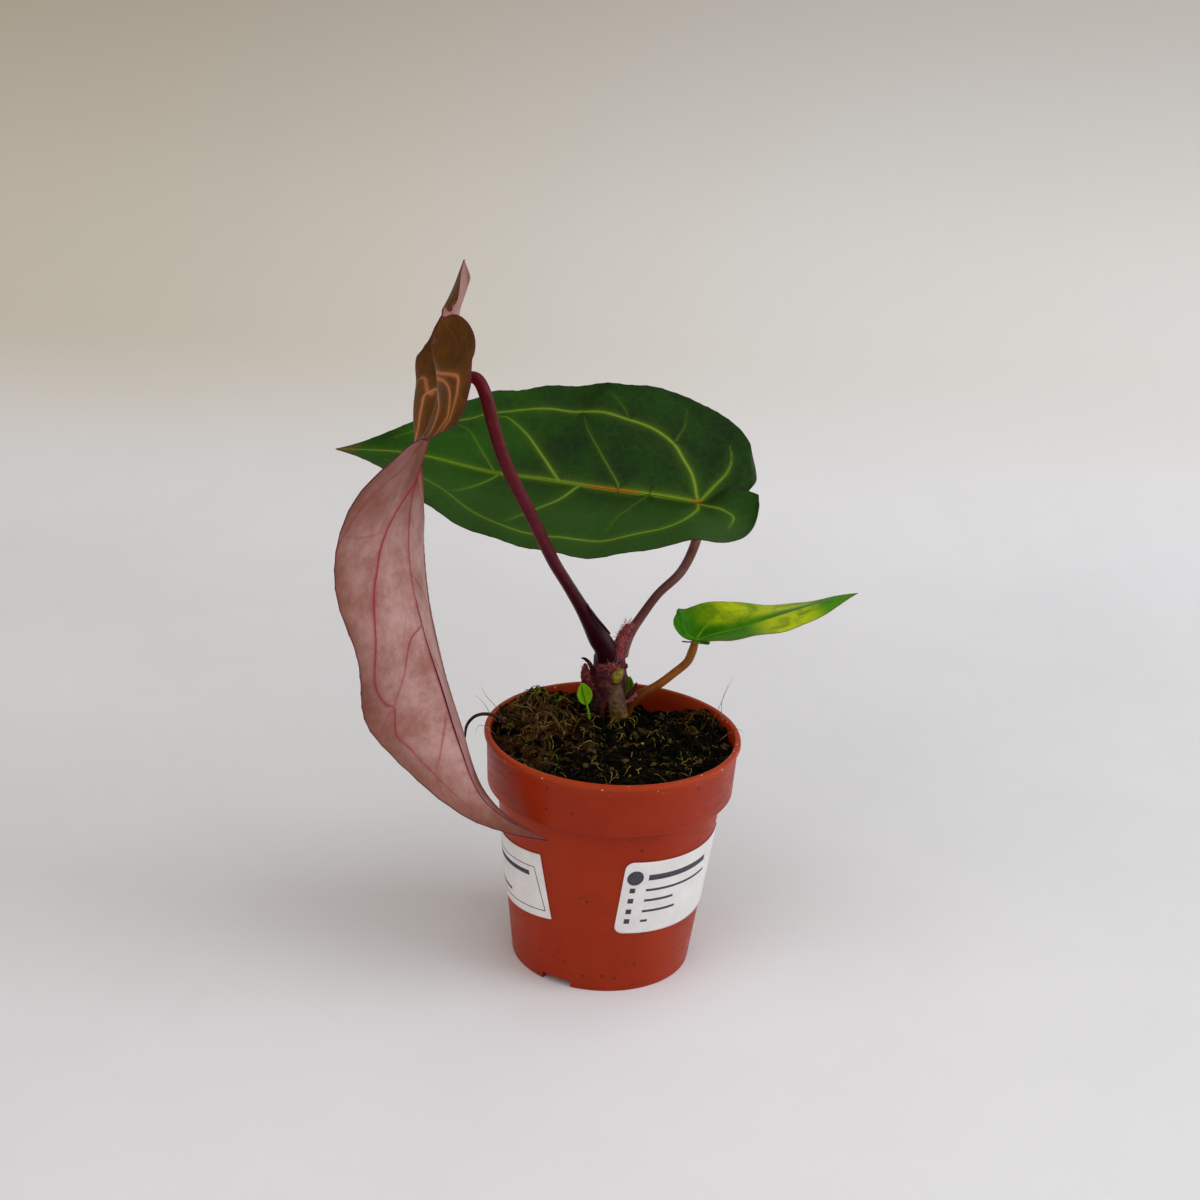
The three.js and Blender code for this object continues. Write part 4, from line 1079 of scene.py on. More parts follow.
# %% [markdown]
# ## Petioles
# A petiole is a smooth fleshy rod, thick at its sheath and a little thicker again where it
# meets the blade. The new leaf's is maroon, the grown leaf's dull purple-brown, and the
# small leaf's orange-brown. Fine streaks run along each, so the finish is drawn on the
# rod's own map, where one way is length and the other is the turn.

# %% Petioles
def stalk_material(name, stops, streak, roughness=0.38, length=1.0):
    """A rod's finish: a colour ramp along its length, with streaks and a fine bump."""
    made, tree, shader = finish_material(name, Specular_IOR_Level=0.15)
    along, _, _ = along_and_across(tree, flat_place(tree))
    colour = ramp(tree, calc(tree, "DIVIDE", along, length), stops)
    streaks = cloud(tree, flat_place(tree, (3.0, 14.0, 1.0)), 6.0, 4.0, 0.6)
    colour = blend(tree, spread(tree, streaks, 0.42, 0.7), colour, streak)
    tone = effect(tree, mottle_group, Place=object_place(tree), Scale=160.0)["Value"]
    colour = blend(tree, calc(tree, "MULTIPLY", tone, 0.35), colour, streak, "MULTIPLY")
    rough = spread(tree, streaks, 0.3, 0.7, roughness - 0.06, roughness + 0.1)
    feed(tree, shader, Base_Color=colour, Roughness=rough,
         Normal=relief(tree, calc(tree, "ADD", streaks, tone), 0.00015, 0.5))
    return made


print("stalks read their own flat map")

# %% [markdown]
# ## Paths of the petioles
# Each petiole is a row of places that its middle passes through, with its radius at each.
# The tall one also carries a low wing where its sheath opened, which is a second, thinner
# rod that lies in its front.

# %% Three petioles
TALL_PATH = [
    (-4.6, 27, 136), (-5.8, 25, 145), (-9, 19, 152.5), (-13, 13, 162), (-17.6, 6.5, 172),
    (-24.4, -4.6, 187), (-31.4, -15, 202), (-42.6, -27, 228.5), (-53.1, -32, 250.5),
    (-59.5, -33, 269), (-63, -32.6, 281), (-67, -30, 287), (-73, -26, 286), (-80.5, -23, 283)]
TALL_RADII = [4.4, 5.2, 5, 4.2, 3.3, 2.8, 2.8, 2.8, 2.8, 2.8, 2.8, 2.7, 2.5, 2.4]
TALL_WING = [(-3.7, 14.2, 156.6), (-6.8, 10.6, 161.4), (-9.9, 7.6, 166), (-14.6, 4.6, 173),
             (-15, 3.8, 175.6)]
WING_RADII = [0.5, 0.75, 0.75, 0.6, 0.12]
MID_PATH = [
    (2.6, 34.5, 137), (3.4, 35, 143), (5.7, 36, 149.3), (9.2, 38, 155), (17.9, 41, 168),
    (27.7, 43, 178.6), (33, 44.5, 190), (35.4, 46, 202), (34.6, 47, 212.4)]
MID_RADII = [2.8, 2.9, 2.6, 2.3, 2.1, 2.2, 2.3, 2.4, 2.3]
LOW_PATH = [
    (5, 32.4, 100), (6, 32.3, 108), (8, 32, 114.7), (12.3, 32, 119.2), (20.5, 31, 125.4),
    (28, 31, 132.3), (33.6, 31, 138.1), (35.6, 31, 143.4), (36.8, 30.3, 149.6)]
LOW_RADII = [2.3, 2.5, 2.6, 2.3, 2.1, 2, 2, 2.1, 1.7]

tall_stalk = stalk_material("stalk_maroon", [
    (0.0, paint(30, 5, 14)), (0.16, paint(52, 10, 26)), (0.4, paint(92, 20, 36)),
    (0.8, paint(106, 14, 28)), (0.95, paint(130, 28, 48))], paint(66, 10, 20), length=2.1)
mid_stalk = stalk_material("stalk_purple_brown", [
    (0.0, paint(170, 112, 114)), (0.14, paint(152, 90, 90)), (0.3, paint(120, 68, 68)),
    (0.55, paint(158, 106, 102)), (0.85, paint(142, 90, 66)), (1.0, paint(130, 100, 42))],
    paint(96, 50, 54), length=0.95)
low_stalk = stalk_material("stalk_orange_brown", [
    (0.0, paint(88, 40, 16)), (0.3, paint(142, 74, 28)), (0.6, paint(184, 112, 46)),
    (0.85, paint(172, 114, 40)), (1.0, paint(150, 138, 44))], paint(124, 66, 26), length=0.7)

for node, path, radii, finish, slot in (
        ("petiole_tall", TALL_PATH, TALL_RADII, tall_stalk, "petiole_dark"),
        ("petiole_mid", MID_PATH, MID_RADII, mid_stalk, "petiole_brown"),
        ("petiole_low", LOW_PATH, LOW_RADII, low_stalk, "petiole_brown")):
    bm = bmesh.new()
    rod(bm, path, radii, 150, 28)
    if node == "petiole_tall":
        rod(bm, TALL_WING, WING_RADII, 30, 8)
    add_piece(bm, node + "_fine", [finish], [node])

# %% [markdown]
# ## Stem
# The stem is a short thick knob where all the petioles start, with roots below, a bud with
# a dark hook, the round scar of a lost leaf and fuzzy pink scraps of sheath. Rods make the
# rough form of each. A voxel remesh melts them into one skin, because a plant has no
# seams, and every point of that skin then takes the colour of the nearest rod.

# %% Stem rods
STEM_BODY = [
    ([(-1, 30, 96), (-1, 30, 106), (-1.5, 30, 114), (-2.2, 30, 121), (-3, 30, 128),
      (-3.2, 30, 135), (-3, 30, 141), (-2.8, 30, 144)],
     [4.6, 5.4, 6.2, 7.2, 7.9, 7.7, 6.9, 4.4], (92, 40, 52)),
    ([(0, 26, 127), (1, 23, 121), (2.4, 21.6, 114), (3.4, 20.8, 106), (3.6, 20.6, 100)],
     [2.5, 3.9, 4.2, 3.7, 3.2], (112, 88, 62)),
    ([(-6, 28, 122), (-8, 26, 117), (-9, 25.5, 110), (-9.4, 25, 101)],
     [2.6, 2.9, 2.6, 2.2], (50, 27, 16)),
    ([(-4, 24, 118), (-5.4, 22.6, 113), (-5.6, 22.4, 104)], [1.2, 1.3, 1.1], (96, 36, 18)),
    ([(0.8, 27, 130.8), (0.8, 20.7, 131.2)], [2.3, 2.1], (160, 146, 44)),
    ([(0.8, 27, 133.2), (0.8, 20.9, 133.4)], [2.3, 2.1], (176, 164, 66)),
    ([(-6.8, 24.4, 126), (-4, 22.4, 127.2), (-2.2, 22.8, 126.4)], [0.9, 1.2, 0.8],
     (124, 64, 44)),
    ([(-8, 25.4, 134.6), (-6, 22.8, 137), (-4, 21.8, 138)], [0.6, 1.2, 0.4], (142, 56, 58)),
    ([(-3, 22.6, 134.6), (-2, 21.2, 136.4), (0.6, 21, 138)], [0.6, 1.2, 0.4],
     (150, 62, 62)),
    ([(3.8, 24, 135.4), (4.6, 23.6, 137), (5, 23.6, 138.6)], [0.5, 1.0, 0.4],
     (120, 40, 50)),
    ([(-8, 28, 121.5), (-12, 26, 124.5), (-13.6, 25.6, 129), (-14.6, 25.4, 134),
      (-15, 25.4, 137)], [2, 2.9, 2.8, 1.8, 0.5], (110, 42, 34)),
    ([(2, 27.5, 117), (7, 26.4, 119.6), (10.4, 26.2, 122.6)], [2.2, 2, 1.1],
     (158, 84, 74)),
    ([(0, 29, 138), (0.4, 28.4, 144), (1.4, 29, 148.5), (3, 30.2, 152), (5, 32, 155.4)],
     [2.4, 2.6, 2.4, 2.1, 1.2], (172, 58, 66)),
]
STEM_HOOKS = [
    ([(-9.5, 26.5, 124), (-10.6, 26, 131), (-12.4, 25.4, 136.4), (-15, 25, 139.2),
      (-17, 24.8, 139.6)], [1, 1.2, 1, 0.7, 0.3]),
    ([(2, 27.5, 118), (6, 26, 120), (8.4, 25.8, 123.5), (10.4, 26, 128.4)],
     [1.7, 1.4, 1.1, 0.3]),
]
print("rods in the stem:", len(STEM_BODY), "and hooks on it:", len(STEM_HOOKS))

# %% [markdown]
# ## The stem's skin
# The remesh leaves a skin that is all of one piece but too smooth and too regular. It is
# relaxed a little, so that the joins between the rods become soft valleys, and then pushed
# in and out along its normals: fine rings from old leaf scars, and a bark-like noise.

# %% Stem skin
STEM_VOXEL = 0.34
STEM_RELAXES = 3
RING_HEIGHT = 0.07
RINGS_PER_MM = 2.4
BARK_HEIGHT = 0.42
BARK_GRAIN = 0.55


def low_knobs(t, angle):
    """Low swellings on the stem, as a factor of its radius."""
    return 1 + 0.05 * np.sin(3 * angle + 9 * t) + 0.04 * np.sin(5 * angle - 14 * t)


bm = bmesh.new()
for number, (path, radii, _) in enumerate(STEM_BODY):
    rod(bm, path, radii, 40, 28, low_knobs if number == 0 else None)
rough = bpy.data.meshes.new("stem_rough")
bm.to_mesh(rough)
bm.free()
holder = bpy.data.objects.new("stem_rough", rough)
bpy.context.collection.objects.link(holder)
melt = holder.modifiers.new("melt", "REMESH")
melt.mode = "VOXEL"
melt.voxel_size = STEM_VOXEL * MM
skin = bpy.data.meshes.new_from_object(
    holder.evaluated_get(bpy.context.evaluated_depsgraph_get()))
bpy.data.objects.remove(holder)

bm = bmesh.new()
bm.from_mesh(skin)
for _ in range(STEM_RELAXES):
    bmesh.ops.smooth_vert(bm, verts=bm.verts[:], factor=0.5, use_axis_x=True,
                          use_axis_y=True, use_axis_z=True)
bm.normal_update()
for vert in bm.verts:
    place = (vert.co - Vector(POT_AXIS)) / MM
    rings = RING_HEIGHT * math.sin(place.z * RINGS_PER_MM + 1.5 * noise.noise(place * 0.2))
    bark = BARK_HEIGHT * noise.fractal(place * BARK_GRAIN, 0.8, 2.2, 4)
    vert.co += vert.normal * (rings + bark) * MM
flat_skin = bpy.data.meshes.new("stem_fine")
bm.to_mesh(flat_skin)
bm.free()
bpy.data.meshes.remove(skin)
print("stem skin:", len(flat_skin.polygons), "faces")

# %% [markdown]
# ## The stem's tints
# The skin no longer knows which rod a point came from, so each point asks how near every
# rod is and takes a share of each one's colour. The shares fall off fast, which keeps the
# scar yellow and the buds red, yet leaves no hard line between them. The lowest part is
# the pale root leg, which has its own tint.

# %% Stem tints
TINT_FALL = 3.5
ROOT_TINT = paint(136, 102, 18)
ROOT_TOP = 119
ROOT_TINT_SHARE = 0.75

axes, tints = [], []
for path, radii, tint in STEM_BODY:
    along = lengths(path)
    at = np.linspace(0, along[-1], 40)
    for point, radius in zip(smooth(along, path, at),
                             smooth(np.linspace(0, along[-1], len(radii)), radii, at)):
        axes.append((*point, radius))
        tints.append(paint(*tint))
axes, tints = np.array(axes), np.array(tints)
coords = np.array([v.co for v in flat_skin.vertices])
coords = (coords - POT_AXIS) / MM
away = np.linalg.norm(coords[:, None, :] - axes[None, :, :3], axis=2) - axes[None, :, 3]
nearness = np.exp(-np.clip(away - away.min(axis=1, keepdims=True), 0, 6) * TINT_FALL)
shares = nearness / nearness.sum(axis=1, keepdims=True)
colours = shares @ tints
low_root = np.clip((ROOT_TOP - coords[:, 2]) / 7, 0, 1)[:, None]
low_root = low_root * np.clip((coords[:, :1] + 3) / 2, 0, 1)
colours = (colours * (1 - ROOT_TINT_SHARE * low_root)
           + np.array(ROOT_TINT) * ROOT_TINT_SHARE * low_root)
colours[:, 3] = 1.0
layer = flat_skin.color_attributes.new("tint", "FLOAT_COLOR", "POINT")
layer.data.foreach_set("color", colours.ravel())
flat_skin.polygons.foreach_set("use_smooth", [True] * len(flat_skin.polygons))
print("tints blended from", len(tints), "places on the rods")

# %% [markdown]
# ## The stem's finish
# The finish reads the tint at each point, darkens it unevenly, and adds small dark pits
# that also show in the relief. The two hooks are hard and dark, so they stay crisp rods of
# their own and aren't melted in.

# %% Stem finish and hooks
stem_skin, tree, shader = finish_material("stem_skin", Roughness=0.55,
                                          Specular_IOR_Level=0.2)
tint = attribute(tree, "tint", "Color")
place = object_place(tree)
tone = effect(tree, mottle_group, Place=place, Scale=260.0)["Value"]
colour = blend(tree, calc(tree, "MULTIPLY", tone, 0.75), tint, paint(128, 92, 84),
               "MULTIPLY")
pits = effect(tree, speck_group, Place=place, Scale=1100.0, Share=0.12)["Mask"]
colour = blend(tree, calc(tree, "MULTIPLY", pits, 0.6), colour, paint(40, 18, 20))
feed(tree, shader, Base_Color=colour,
     Normal=relief(tree, calc(tree, "SUBTRACT", tone, pits), 0.0003, 0.8))
flat_skin.materials.append(stem_skin)
stem_fine = bpy.data.objects.new("stem_fine", flat_skin)
bpy.context.collection.objects.link(stem_fine)
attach(stem_fine, "root")
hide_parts("stem")
print("stem:", len(flat_skin.polygons), "faces")

hook_skin = stalk_material("hook_dark", [
    (0.0, paint(110, 44, 52)), (0.5, paint(70, 22, 36)), (1.0, paint(34, 12, 26))],
    paint(50, 18, 30), length=0.18)
bm = bmesh.new()
for path, radii in STEM_HOOKS:
    rod(bm, path, radii, 40, 14)
add_piece(bm, "stem_hooks", [hook_skin])

# %% [markdown]
# ## Fuzz
# Old sheaths fray into soft fibres. Each fibre is a thin tapered rod with a few faces. They
# are drawn by a seeded rule from the surface of the scrap that they grow on.

# %% Sheath fuzz
fuzz_skin, tree, shader = finish_material("sheath_fuzz", Roughness=0.85)
tone = cloud(tree, object_place(tree), 900.0)
feed(tree, shader, Base_Color=ramp(tree, tone, [
    (0.3, paint(142, 32, 40)), (0.5, paint(196, 84, 88)), (0.7, paint(236, 190, 184))]))

FUZZ_RADII = [0.16, 0.12, 0.04]
FUZZ_LENGTH = (0.6, 1.8)
FUZZ_SEED = 31
FUZZ_ROOTS = [
    # the middle line of the scrap, its radius, and how many fibres grow on it
    ([(-0.4, 27.4, 139), (0.4, 26.6, 145), (1.8, 28, 150), (4.8, 31.4, 155.6)], 2.5, 800),
    ([(-8, 25, 134.6), (-6, 22.8, 137), (-3.6, 21.8, 137.6)], 1.3, 90),
    ([(-3, 22.4, 134.6), (-1.6, 21.2, 136.6), (1, 21, 138)], 1.3, 110),
    ([(-12, 24.4, 125), (-13.6, 23.6, 129.4), (-14.8, 24.2, 135.6)], 2.2, 110),
]
draw = random.Random(FUZZ_SEED)
bm = bmesh.new()
for path, radius, count in FUZZ_ROOTS:
    along = lengths(path)
    for _ in range(count):
        centre = smooth(along, path, [draw.random() * along[-1]])[0]
        away = Vector((draw.gauss(0, 1), draw.gauss(-0.5, 1), draw.gauss(0.4, 1)))
        away = away.normalized()
        root = Vector(centre) + away * radius * 0.85
        lean = Vector((draw.gauss(0, 0.6), draw.gauss(0, 0.6), draw.gauss(0.3, 0.6)))
        reach = draw.uniform(*FUZZ_LENGTH)
        middle = root + (away + lean * 0.4) * reach * 0.5
        tip = root + (away * 0.7 + lean) * reach
        rod(bm, [root, middle, tip], FUZZ_RADII, 3, 3)
add_piece(bm, "sheath_fuzz", [fuzz_skin])

# %% [markdown]
# ## Seedlings
# Two self-sown seedlings stand in the peat, each a thread of a stalk with one lime leaf.
# The leaf is a small sheet along the upper part of its stalk, cupped a little and creased
# along its rib, and one function makes both.

# %% Seedlings
SEEDLING_RADII = [0.7, 0.65, 0.6, 0.5]
LEAF_START = 0.62
SEEDLING_THICKNESS = 0.6

seedling_skin, tree, shader = finish_material("seedling_lime", Roughness=0.5,
                                              Specular_IOR_Level=0.15)
place = flat_place(tree)
_, across, _ = along_and_across(tree, place)
rib = spread(tree, calc(tree, "ABSOLUTE", across), 0.0, 0.004, 1.0, 0.0)
tone = effect(tree, mottle_group, Place=place, Scale=40.0)["Value"]
colour = blend(tree, tone, paint(104, 162, 6), paint(134, 184, 12))
feed(tree, shader, Base_Color=blend(tree, rib, colour, paint(160, 196, 40)),
     Normal=relief(tree, calc(tree, "ADD", tone, rib), 0.0002, 0.6))


def seedling(node, path, half_width, facing):
    """A stalk along a path and a leaf of that half width, with its face turned one way."""
    bm = bmesh.new()
    rod(bm, path, SEEDLING_RADII, 40, 10)
    leaf = bmesh.new()
    verts, shares = sheet(leaf, 34, 14)
    t, f = shares[:, 0], shares[:, 1] * 2 - 1
    along = lengths(path)
    at = along[-1] * (LEAF_START + (1 - LEAF_START) * t)
    centre = smooth(along, path, at)
    tangent = unit(smooth(along, path, np.minimum(at + 0.1, along[-1]))
                   - smooth(along, path, at - 0.1))
    facing = np.array(facing, float) / np.linalg.norm(facing)
    across = unit(np.cross(facing, tangent))
    half = 0.35 + (half_width - 0.35) * np.sin(math.pi * t**0.85) ** 0.7
    cup = 0.24 * half * f**2 - 0.12 * half - 0.18 * np.exp(-(f / 0.08) ** 2)
    points = centre + across * (half * f)[:, None] + facing * cup[:, None]
    write_uv(leaf, verts, np.stack([t * 0.1, f * half / FLAT_UNIT], 1))
    move_to(verts, placed(points))
    leaf.normal_update()
    bmesh.ops.solidify(leaf, geom=leaf.faces[:], thickness=SEEDLING_THICKNESS * MM)
    mesh = bpy.data.meshes.new("leaf")
    leaf.to_mesh(mesh)
    leaf.free()
    bm.from_mesh(mesh)
    bpy.data.meshes.remove(mesh)
    add_piece(bm, node + "_fine", [seedling_skin], [node])


seedling("seedling_left", [(-11, 20, 101), (-11.4, 20, 111), (-12.6, 19.6, 117),
                           (-15.6, 19, 128.6)], 3.5, (0.2, -1, 0.3))
seedling("seedling_right", [(5.1, 41, 101), (5.1, 41, 108), (5.6, 40.6, 113.5),
                            (6.8, 40, 124.6)], 3.1, (-0.4, -1, 0.2))

# %% [markdown]
# ## Pot
# A nursery pot is turned about one axis, so its wall is a profile that is spun. The foot
# ring has three notches and the floor has drain holes. Those are cut with a boolean, the
# one tool that leaves clean edges across a curved wall.

# %% Pot profile
POT_STEPS = 180
BASE_RADIUS = 42.5
BODY_TOP_RADIUS = 53.2
COLLAR_Z = 88.0
POT_PROFILE = [
    (0, 3.5), (39.2, 3.5), (39.45, 3.2), (39.6, 0.3), (39.9, 0), (42.1, 0), (42.4, 0.2),
    (42.5, 0.6), (53.1, 87.4), (53.2, 87.9), (53.5, 88), (56.9, 88), (57.3, 88.1),
    (57.6, 88.6), (58.7, 110.6), (58.9, 111.1), (59.5, 111.4), (59.9, 111.9), (60, 112.5),
    (59.9, 113.2), (59.6, 113.8), (59.1, 114), (57.8, 114), (57.3, 113.8), (57.1, 113.4),
    (56, 90.6), (55.8, 90), (55.4, 89.7), (52.4, 89.6), (51.9, 89.4), (51.8, 89),
    (41, 5.8), (40.8, 5.3), (40.4, 5), (0, 5)]
NOTCH_ANGLES = [242, 2, 122]
NOTCH_WIDTH = 15.0
NOTCH_DEPTH = 10
NOTCH_HEIGHT = 7
DRAIN_RADIUS = 4.0
DRAIN_CIRCLE = 27.0
DRAINS_ROUND = 8
FLOOR_MIDDLE = 4.2
POT_WELD = 0.005 * MM
CREASE = math.radians(32)

bm = bmesh.new()
chain = [bm.verts.new((r * MM, 0, z * MM)) for r, z in POT_PROFILE]
for first, second in zip(chain, chain[1:]):
    bm.edges.new((first, second))
bmesh.ops.spin(bm, geom=bm.verts[:] + bm.edges[:], cent=(0, 0, 0), axis=(0, 0, 1),
               angle=2 * math.pi, steps=POT_STEPS, use_merge=True)
bmesh.ops.remove_doubles(bm, verts=bm.verts[:], dist=POT_WELD)
bmesh.ops.translate(bm, verts=bm.verts[:], vec=POT_AXIS)
bmesh.ops.recalc_face_normals(bm, faces=bm.faces[:])
pot_mesh = bpy.data.meshes.new("pot_fine")
bm.to_mesh(pot_mesh)
bm.free()
pot_fine = bpy.data.objects.new("pot_fine", pot_mesh)
bpy.context.collection.objects.link(pot_fine)
print("spun wall:", len(pot_mesh.polygons), "faces")

# %% [markdown]
# ## Notches and drain holes
# The cutters are plain cubes and cylinders in one mesh, so one boolean does all the cuts.
# It is applied at once and the cutters are removed, so nothing live is left on the pot.

# %% Cuts in the pot
bm = bmesh.new()
for angle in NOTCH_ANGLES:
    turn = Matrix.Rotation(math.radians(angle), 4, "Z")
    size = Matrix.Diagonal((NOTCH_DEPTH * MM, NOTCH_WIDTH * MM, NOTCH_HEIGHT * MM, 1))
    shift = Matrix.Translation(((BASE_RADIUS - 1) * MM, 0, 0))
    bmesh.ops.create_cube(bm, size=1.0,
                          matrix=Matrix.Translation(POT_AXIS) @ turn @ shift @ size)
for i in range(DRAINS_ROUND + 1):
    reach = 0 if i == DRAINS_ROUND else DRAIN_CIRCLE
    turn = 2 * math.pi * (i + 0.5) / DRAINS_ROUND
    centre = placed((reach * math.cos(turn), reach * math.sin(turn), FLOOR_MIDDLE))
    bmesh.ops.create_cone(bm, cap_ends=True, segments=32, radius1=DRAIN_RADIUS * MM,
                          radius2=DRAIN_RADIUS * MM, depth=8 * MM,
                          matrix=Matrix.Translation(centre))
cutter_mesh = bpy.data.meshes.new("cutter")
bm.to_mesh(cutter_mesh)
bm.free()
cutter = bpy.data.objects.new("cutter", cutter_mesh)
bpy.context.collection.objects.link(cutter)
cut = pot_fine.modifiers.new("cut", "BOOLEAN")
cut.object = cutter
cut.operation = "DIFFERENCE"
cut.solver = "EXACT"
cut_mesh = bpy.data.meshes.new_from_object(
    pot_fine.evaluated_get(bpy.context.evaluated_depsgraph_get()))
pot_fine.modifiers.clear()
pot_fine.data = cut_mesh
cut_mesh.name = "pot_fine"
bpy.data.objects.remove(cutter)
cut_mesh.polygons.foreach_set("use_smooth", [True] * len(cut_mesh.polygons))
cut_mesh.set_sharp_from_angle(angle=CREASE)
print("cut pot:", len(cut_mesh.polygons), "faces")

# %% [markdown]
# ## Pot plastic
# The pot is moulded in terracotta-coloured plastic, half matt. It is smudged by handling,
# speckled with peat, paler on its lip, and chalk from hard water has dried there in
# small spots. Height alone tells the finish where the lip is.

# %% Pot plastic
LIP_RISE = (0.108, 0.113)
pot_plastic, tree, shader = finish_material("pot_plastic", Specular_IOR_Level=0.16)
place = object_place(tree)
tone = effect(tree, mottle_group, Place=place, Scale=26.0)["Value"]
colour = blend(tree, tone, paint(152, 38, 2), paint(162, 46, 4))
_, _, height = along_and_across(tree, place)
smudge = spread(tree, cloud(tree, place, 16.0, 5.0, 0.6), 0.52, 0.72)
colour = blend(tree, calc(tree, "MULTIPLY", smudge, 0.35), colour, paint(112, 36, 10))
lip = spread(tree, height, *LIP_RISE)
colour = blend(tree, calc(tree, "MULTIPLY", lip, 0.5), colour, paint(180, 66, 26))
dirt = effect(tree, speck_group, Place=place, Scale=340.0, Share=0.045)["Mask"]
colour = blend(tree, calc(tree, "MULTIPLY", dirt, 0.8), colour, paint(60, 34, 20))
chalk = effect(tree, speck_group, Place=place, Scale=520.0, Share=0.12)["Mask"]
chalk = calc(tree, "MULTIPLY", chalk, lip)
colour = blend(tree, calc(tree, "MULTIPLY", chalk, 0.7), colour, paint(226, 204, 180))
scuff = cloud(tree, add(tree, "ShaderNodeMapping",
                        {"Vector": place, "Scale": (1.0, 1.0, 6.0)}).outputs[0], 90.0, 5.0)
rough = spread(tree, scuff, 0.35, 0.7, 0.36, 0.5)
grain = cloud(tree, place, 1500.0, 2.0)
feed(tree, shader, Base_Color=colour, Roughness=rough,
     Normal=relief(tree, calc(tree, "ADD", grain, calc(tree, "MULTIPLY", scuff, 0.5)),
                   0.00006, 0.5))
cut_mesh.materials.append(pot_plastic)
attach(pot_fine, "root")
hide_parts("pot")
print("pot:", len(cut_mesh.polygons), "faces")

# %% [markdown]
# ## Peat
# The pot is filled with dark fibrous peat. It is mounded at the left and the right, and a
# hollow behind the stem shows the pot's inner wall. Its height is a formula: a level, some
# round bells that raise or lower it, and noise of a few sizes for its roughness.

# %% Height of the peat
SOIL_Z = 107.5
INNER_WALL = [(5.3, 40.1), (5.9, 40.6), (89.3, 51.5), (90, 54.9), (113, 56.4)]


def bell(x, y, cx, cy, size):
    return np.exp(-((x - cx) ** 2 + (y - cy) ** 2) / (2 * size * size))


def soil_height(x, y):
    """Height of the peat above the table, with its mound, its full front and its hollow."""
    mound = (8.5 * bell(x, y, -40, 28, 15) + 4 * bell(x, y, -48, -2, 12)
             + 3 * bell(x, y, 0, 20, 10) + 3.5 * bell(x, y, 46, 30, 12))
    front = 3.5 * np.clip((-y - 10) / 35, 0, 1)
    hollow = -6.5 * bell(x, y, 16, 50, 12)
    lumps = (0.9 * np.sin(0.31 * x + 1.7) * np.sin(0.27 * y + 0.4)
             + 0.7 * np.sin(0.53 * x - 0.47 * y) + 0.5 * np.sin(0.8 * y + 0.35 * x + 2))
    return SOIL_Z + mound + front + hollow + lumps


def rough_height(x, y):
    """The same height at one place, with the roughness of the peat."""
    clods = noise.fractal(Vector((x * 0.12, y * 0.12, 3.0)), 0.7, 2.1, 6)
    pits = noise.fractal(Vector((x * 0.5, y * 0.5, 9.0)), 0.8, 2.2, 4)
    rough = 1.0 + 0.8 * float(bell(x, y, -34, 18, 20))
    return float(soil_height(x, y)) + (2.2 * clods + 0.8 * pits) * rough


print("peat in the middle stands", round(rough_height(0, 0), 1), "mm above the table")

# %% [markdown]
# ## Peat body
# The body is one closed skin: a grid wrapped round the axis, from the middle of the top,
# down the wall and back under. A flat disc would be simpler, but the peat meets a sloping
# wall with a ledge in it, and its edge has to follow that wall at every height.

# %% Peat body
SOIL_RINGS = 150
SOIL_TURNS = 280
WALL_RINGS = 24
SOIL_RADIUS = 56.2
SOIL_FOOT = 5.3
INNER_TOP = 113.0
PEAT_WELD = 0.004 * MM

bm = bmesh.new()
verts, shares = sheet(bm, SOIL_RINGS + WALL_RINGS, SOIL_TURNS)
ring = np.rint(shares[:, 0] * (SOIL_RINGS + WALL_RINGS))
angle = 2 * math.pi * shares[:, 1]
wall_z, wall_r = np.array(INNER_WALL).T
points = []
for k, a in zip(ring, angle):
    if k <= SOIL_RINGS:
        r = SOIL_RADIUS * k / SOIL_RINGS
        x, y = r * math.cos(a), r * math.sin(a)
        z = rough_height(x, y)
        r = min(r, float(np.interp(min(z, INNER_TOP), wall_z, wall_r)))
        points.append((r * math.cos(a), r * math.sin(a), z))
    else:
        share = (k - SOIL_RINGS) / WALL_RINGS
        edge_z = rough_height(SOIL_RADIUS * math.cos(a), SOIL_RADIUS * math.sin(a))
        z = edge_z + (SOIL_FOOT - edge_z) * min(share * 1.25, 1.0)
        r = float(np.interp(min(z, INNER_TOP), wall_z, wall_r)) * min(5 * (1 - share), 1.0)
        points.append((r * math.cos(a), r * math.sin(a), z))
write_uv(bm, verts, shares)
move_to(verts, placed(points))
bmesh.ops.remove_doubles(bm, verts=bm.verts[:], dist=PEAT_WELD)
print("peat skin:", len(bm.faces), "faces")

# %% [markdown]
# ## Peat finish
# Wet peat is nearly black, with a green tinge where algae start and dry brown clods at the
# left. It hardly shines: a low specular level keeps the light from greying it.

# %% Peat finish
PEAT_SHINE = 0.04
LEFT_SIDE = (-0.03, 0.01)
peat, tree, shader = finish_material("peat", Roughness=0.95, Specular_IOR_Level=PEAT_SHINE)
place = object_place(tree)
tone = effect(tree, mottle_group, Place=place, Scale=60.0)["Value"]
dry = cloud(tree, place, 22.0, 3.0)
sideways, _, _ = along_and_across(tree, place)
left = spread(tree, sideways, *LEFT_SIDE, 1.0, 0.0)
dry = spread(tree, calc(tree, "ADD", dry, calc(tree, "MULTIPLY", left, 0.28)), 0.6, 0.82)
colour = blend(tree, tone, paint(4, 5, 2), paint(15, 14, 6))
colour = blend(tree, dry, colour, paint(66, 42, 20))
green_tinge = spread(tree, cloud(tree, place, 35.0, 4.0), 0.52, 0.66)
colour = blend(tree, calc(tree, "MULTIPLY", green_tinge, 0.4), colour, paint(30, 38, 8))
grain = effect(tree, speck_group, Place=place, Scale=900.0, Share=0.06)["Mask"]
colour = blend(tree, calc(tree, "MULTIPLY", grain, 0.5), colour, paint(110, 84, 50))
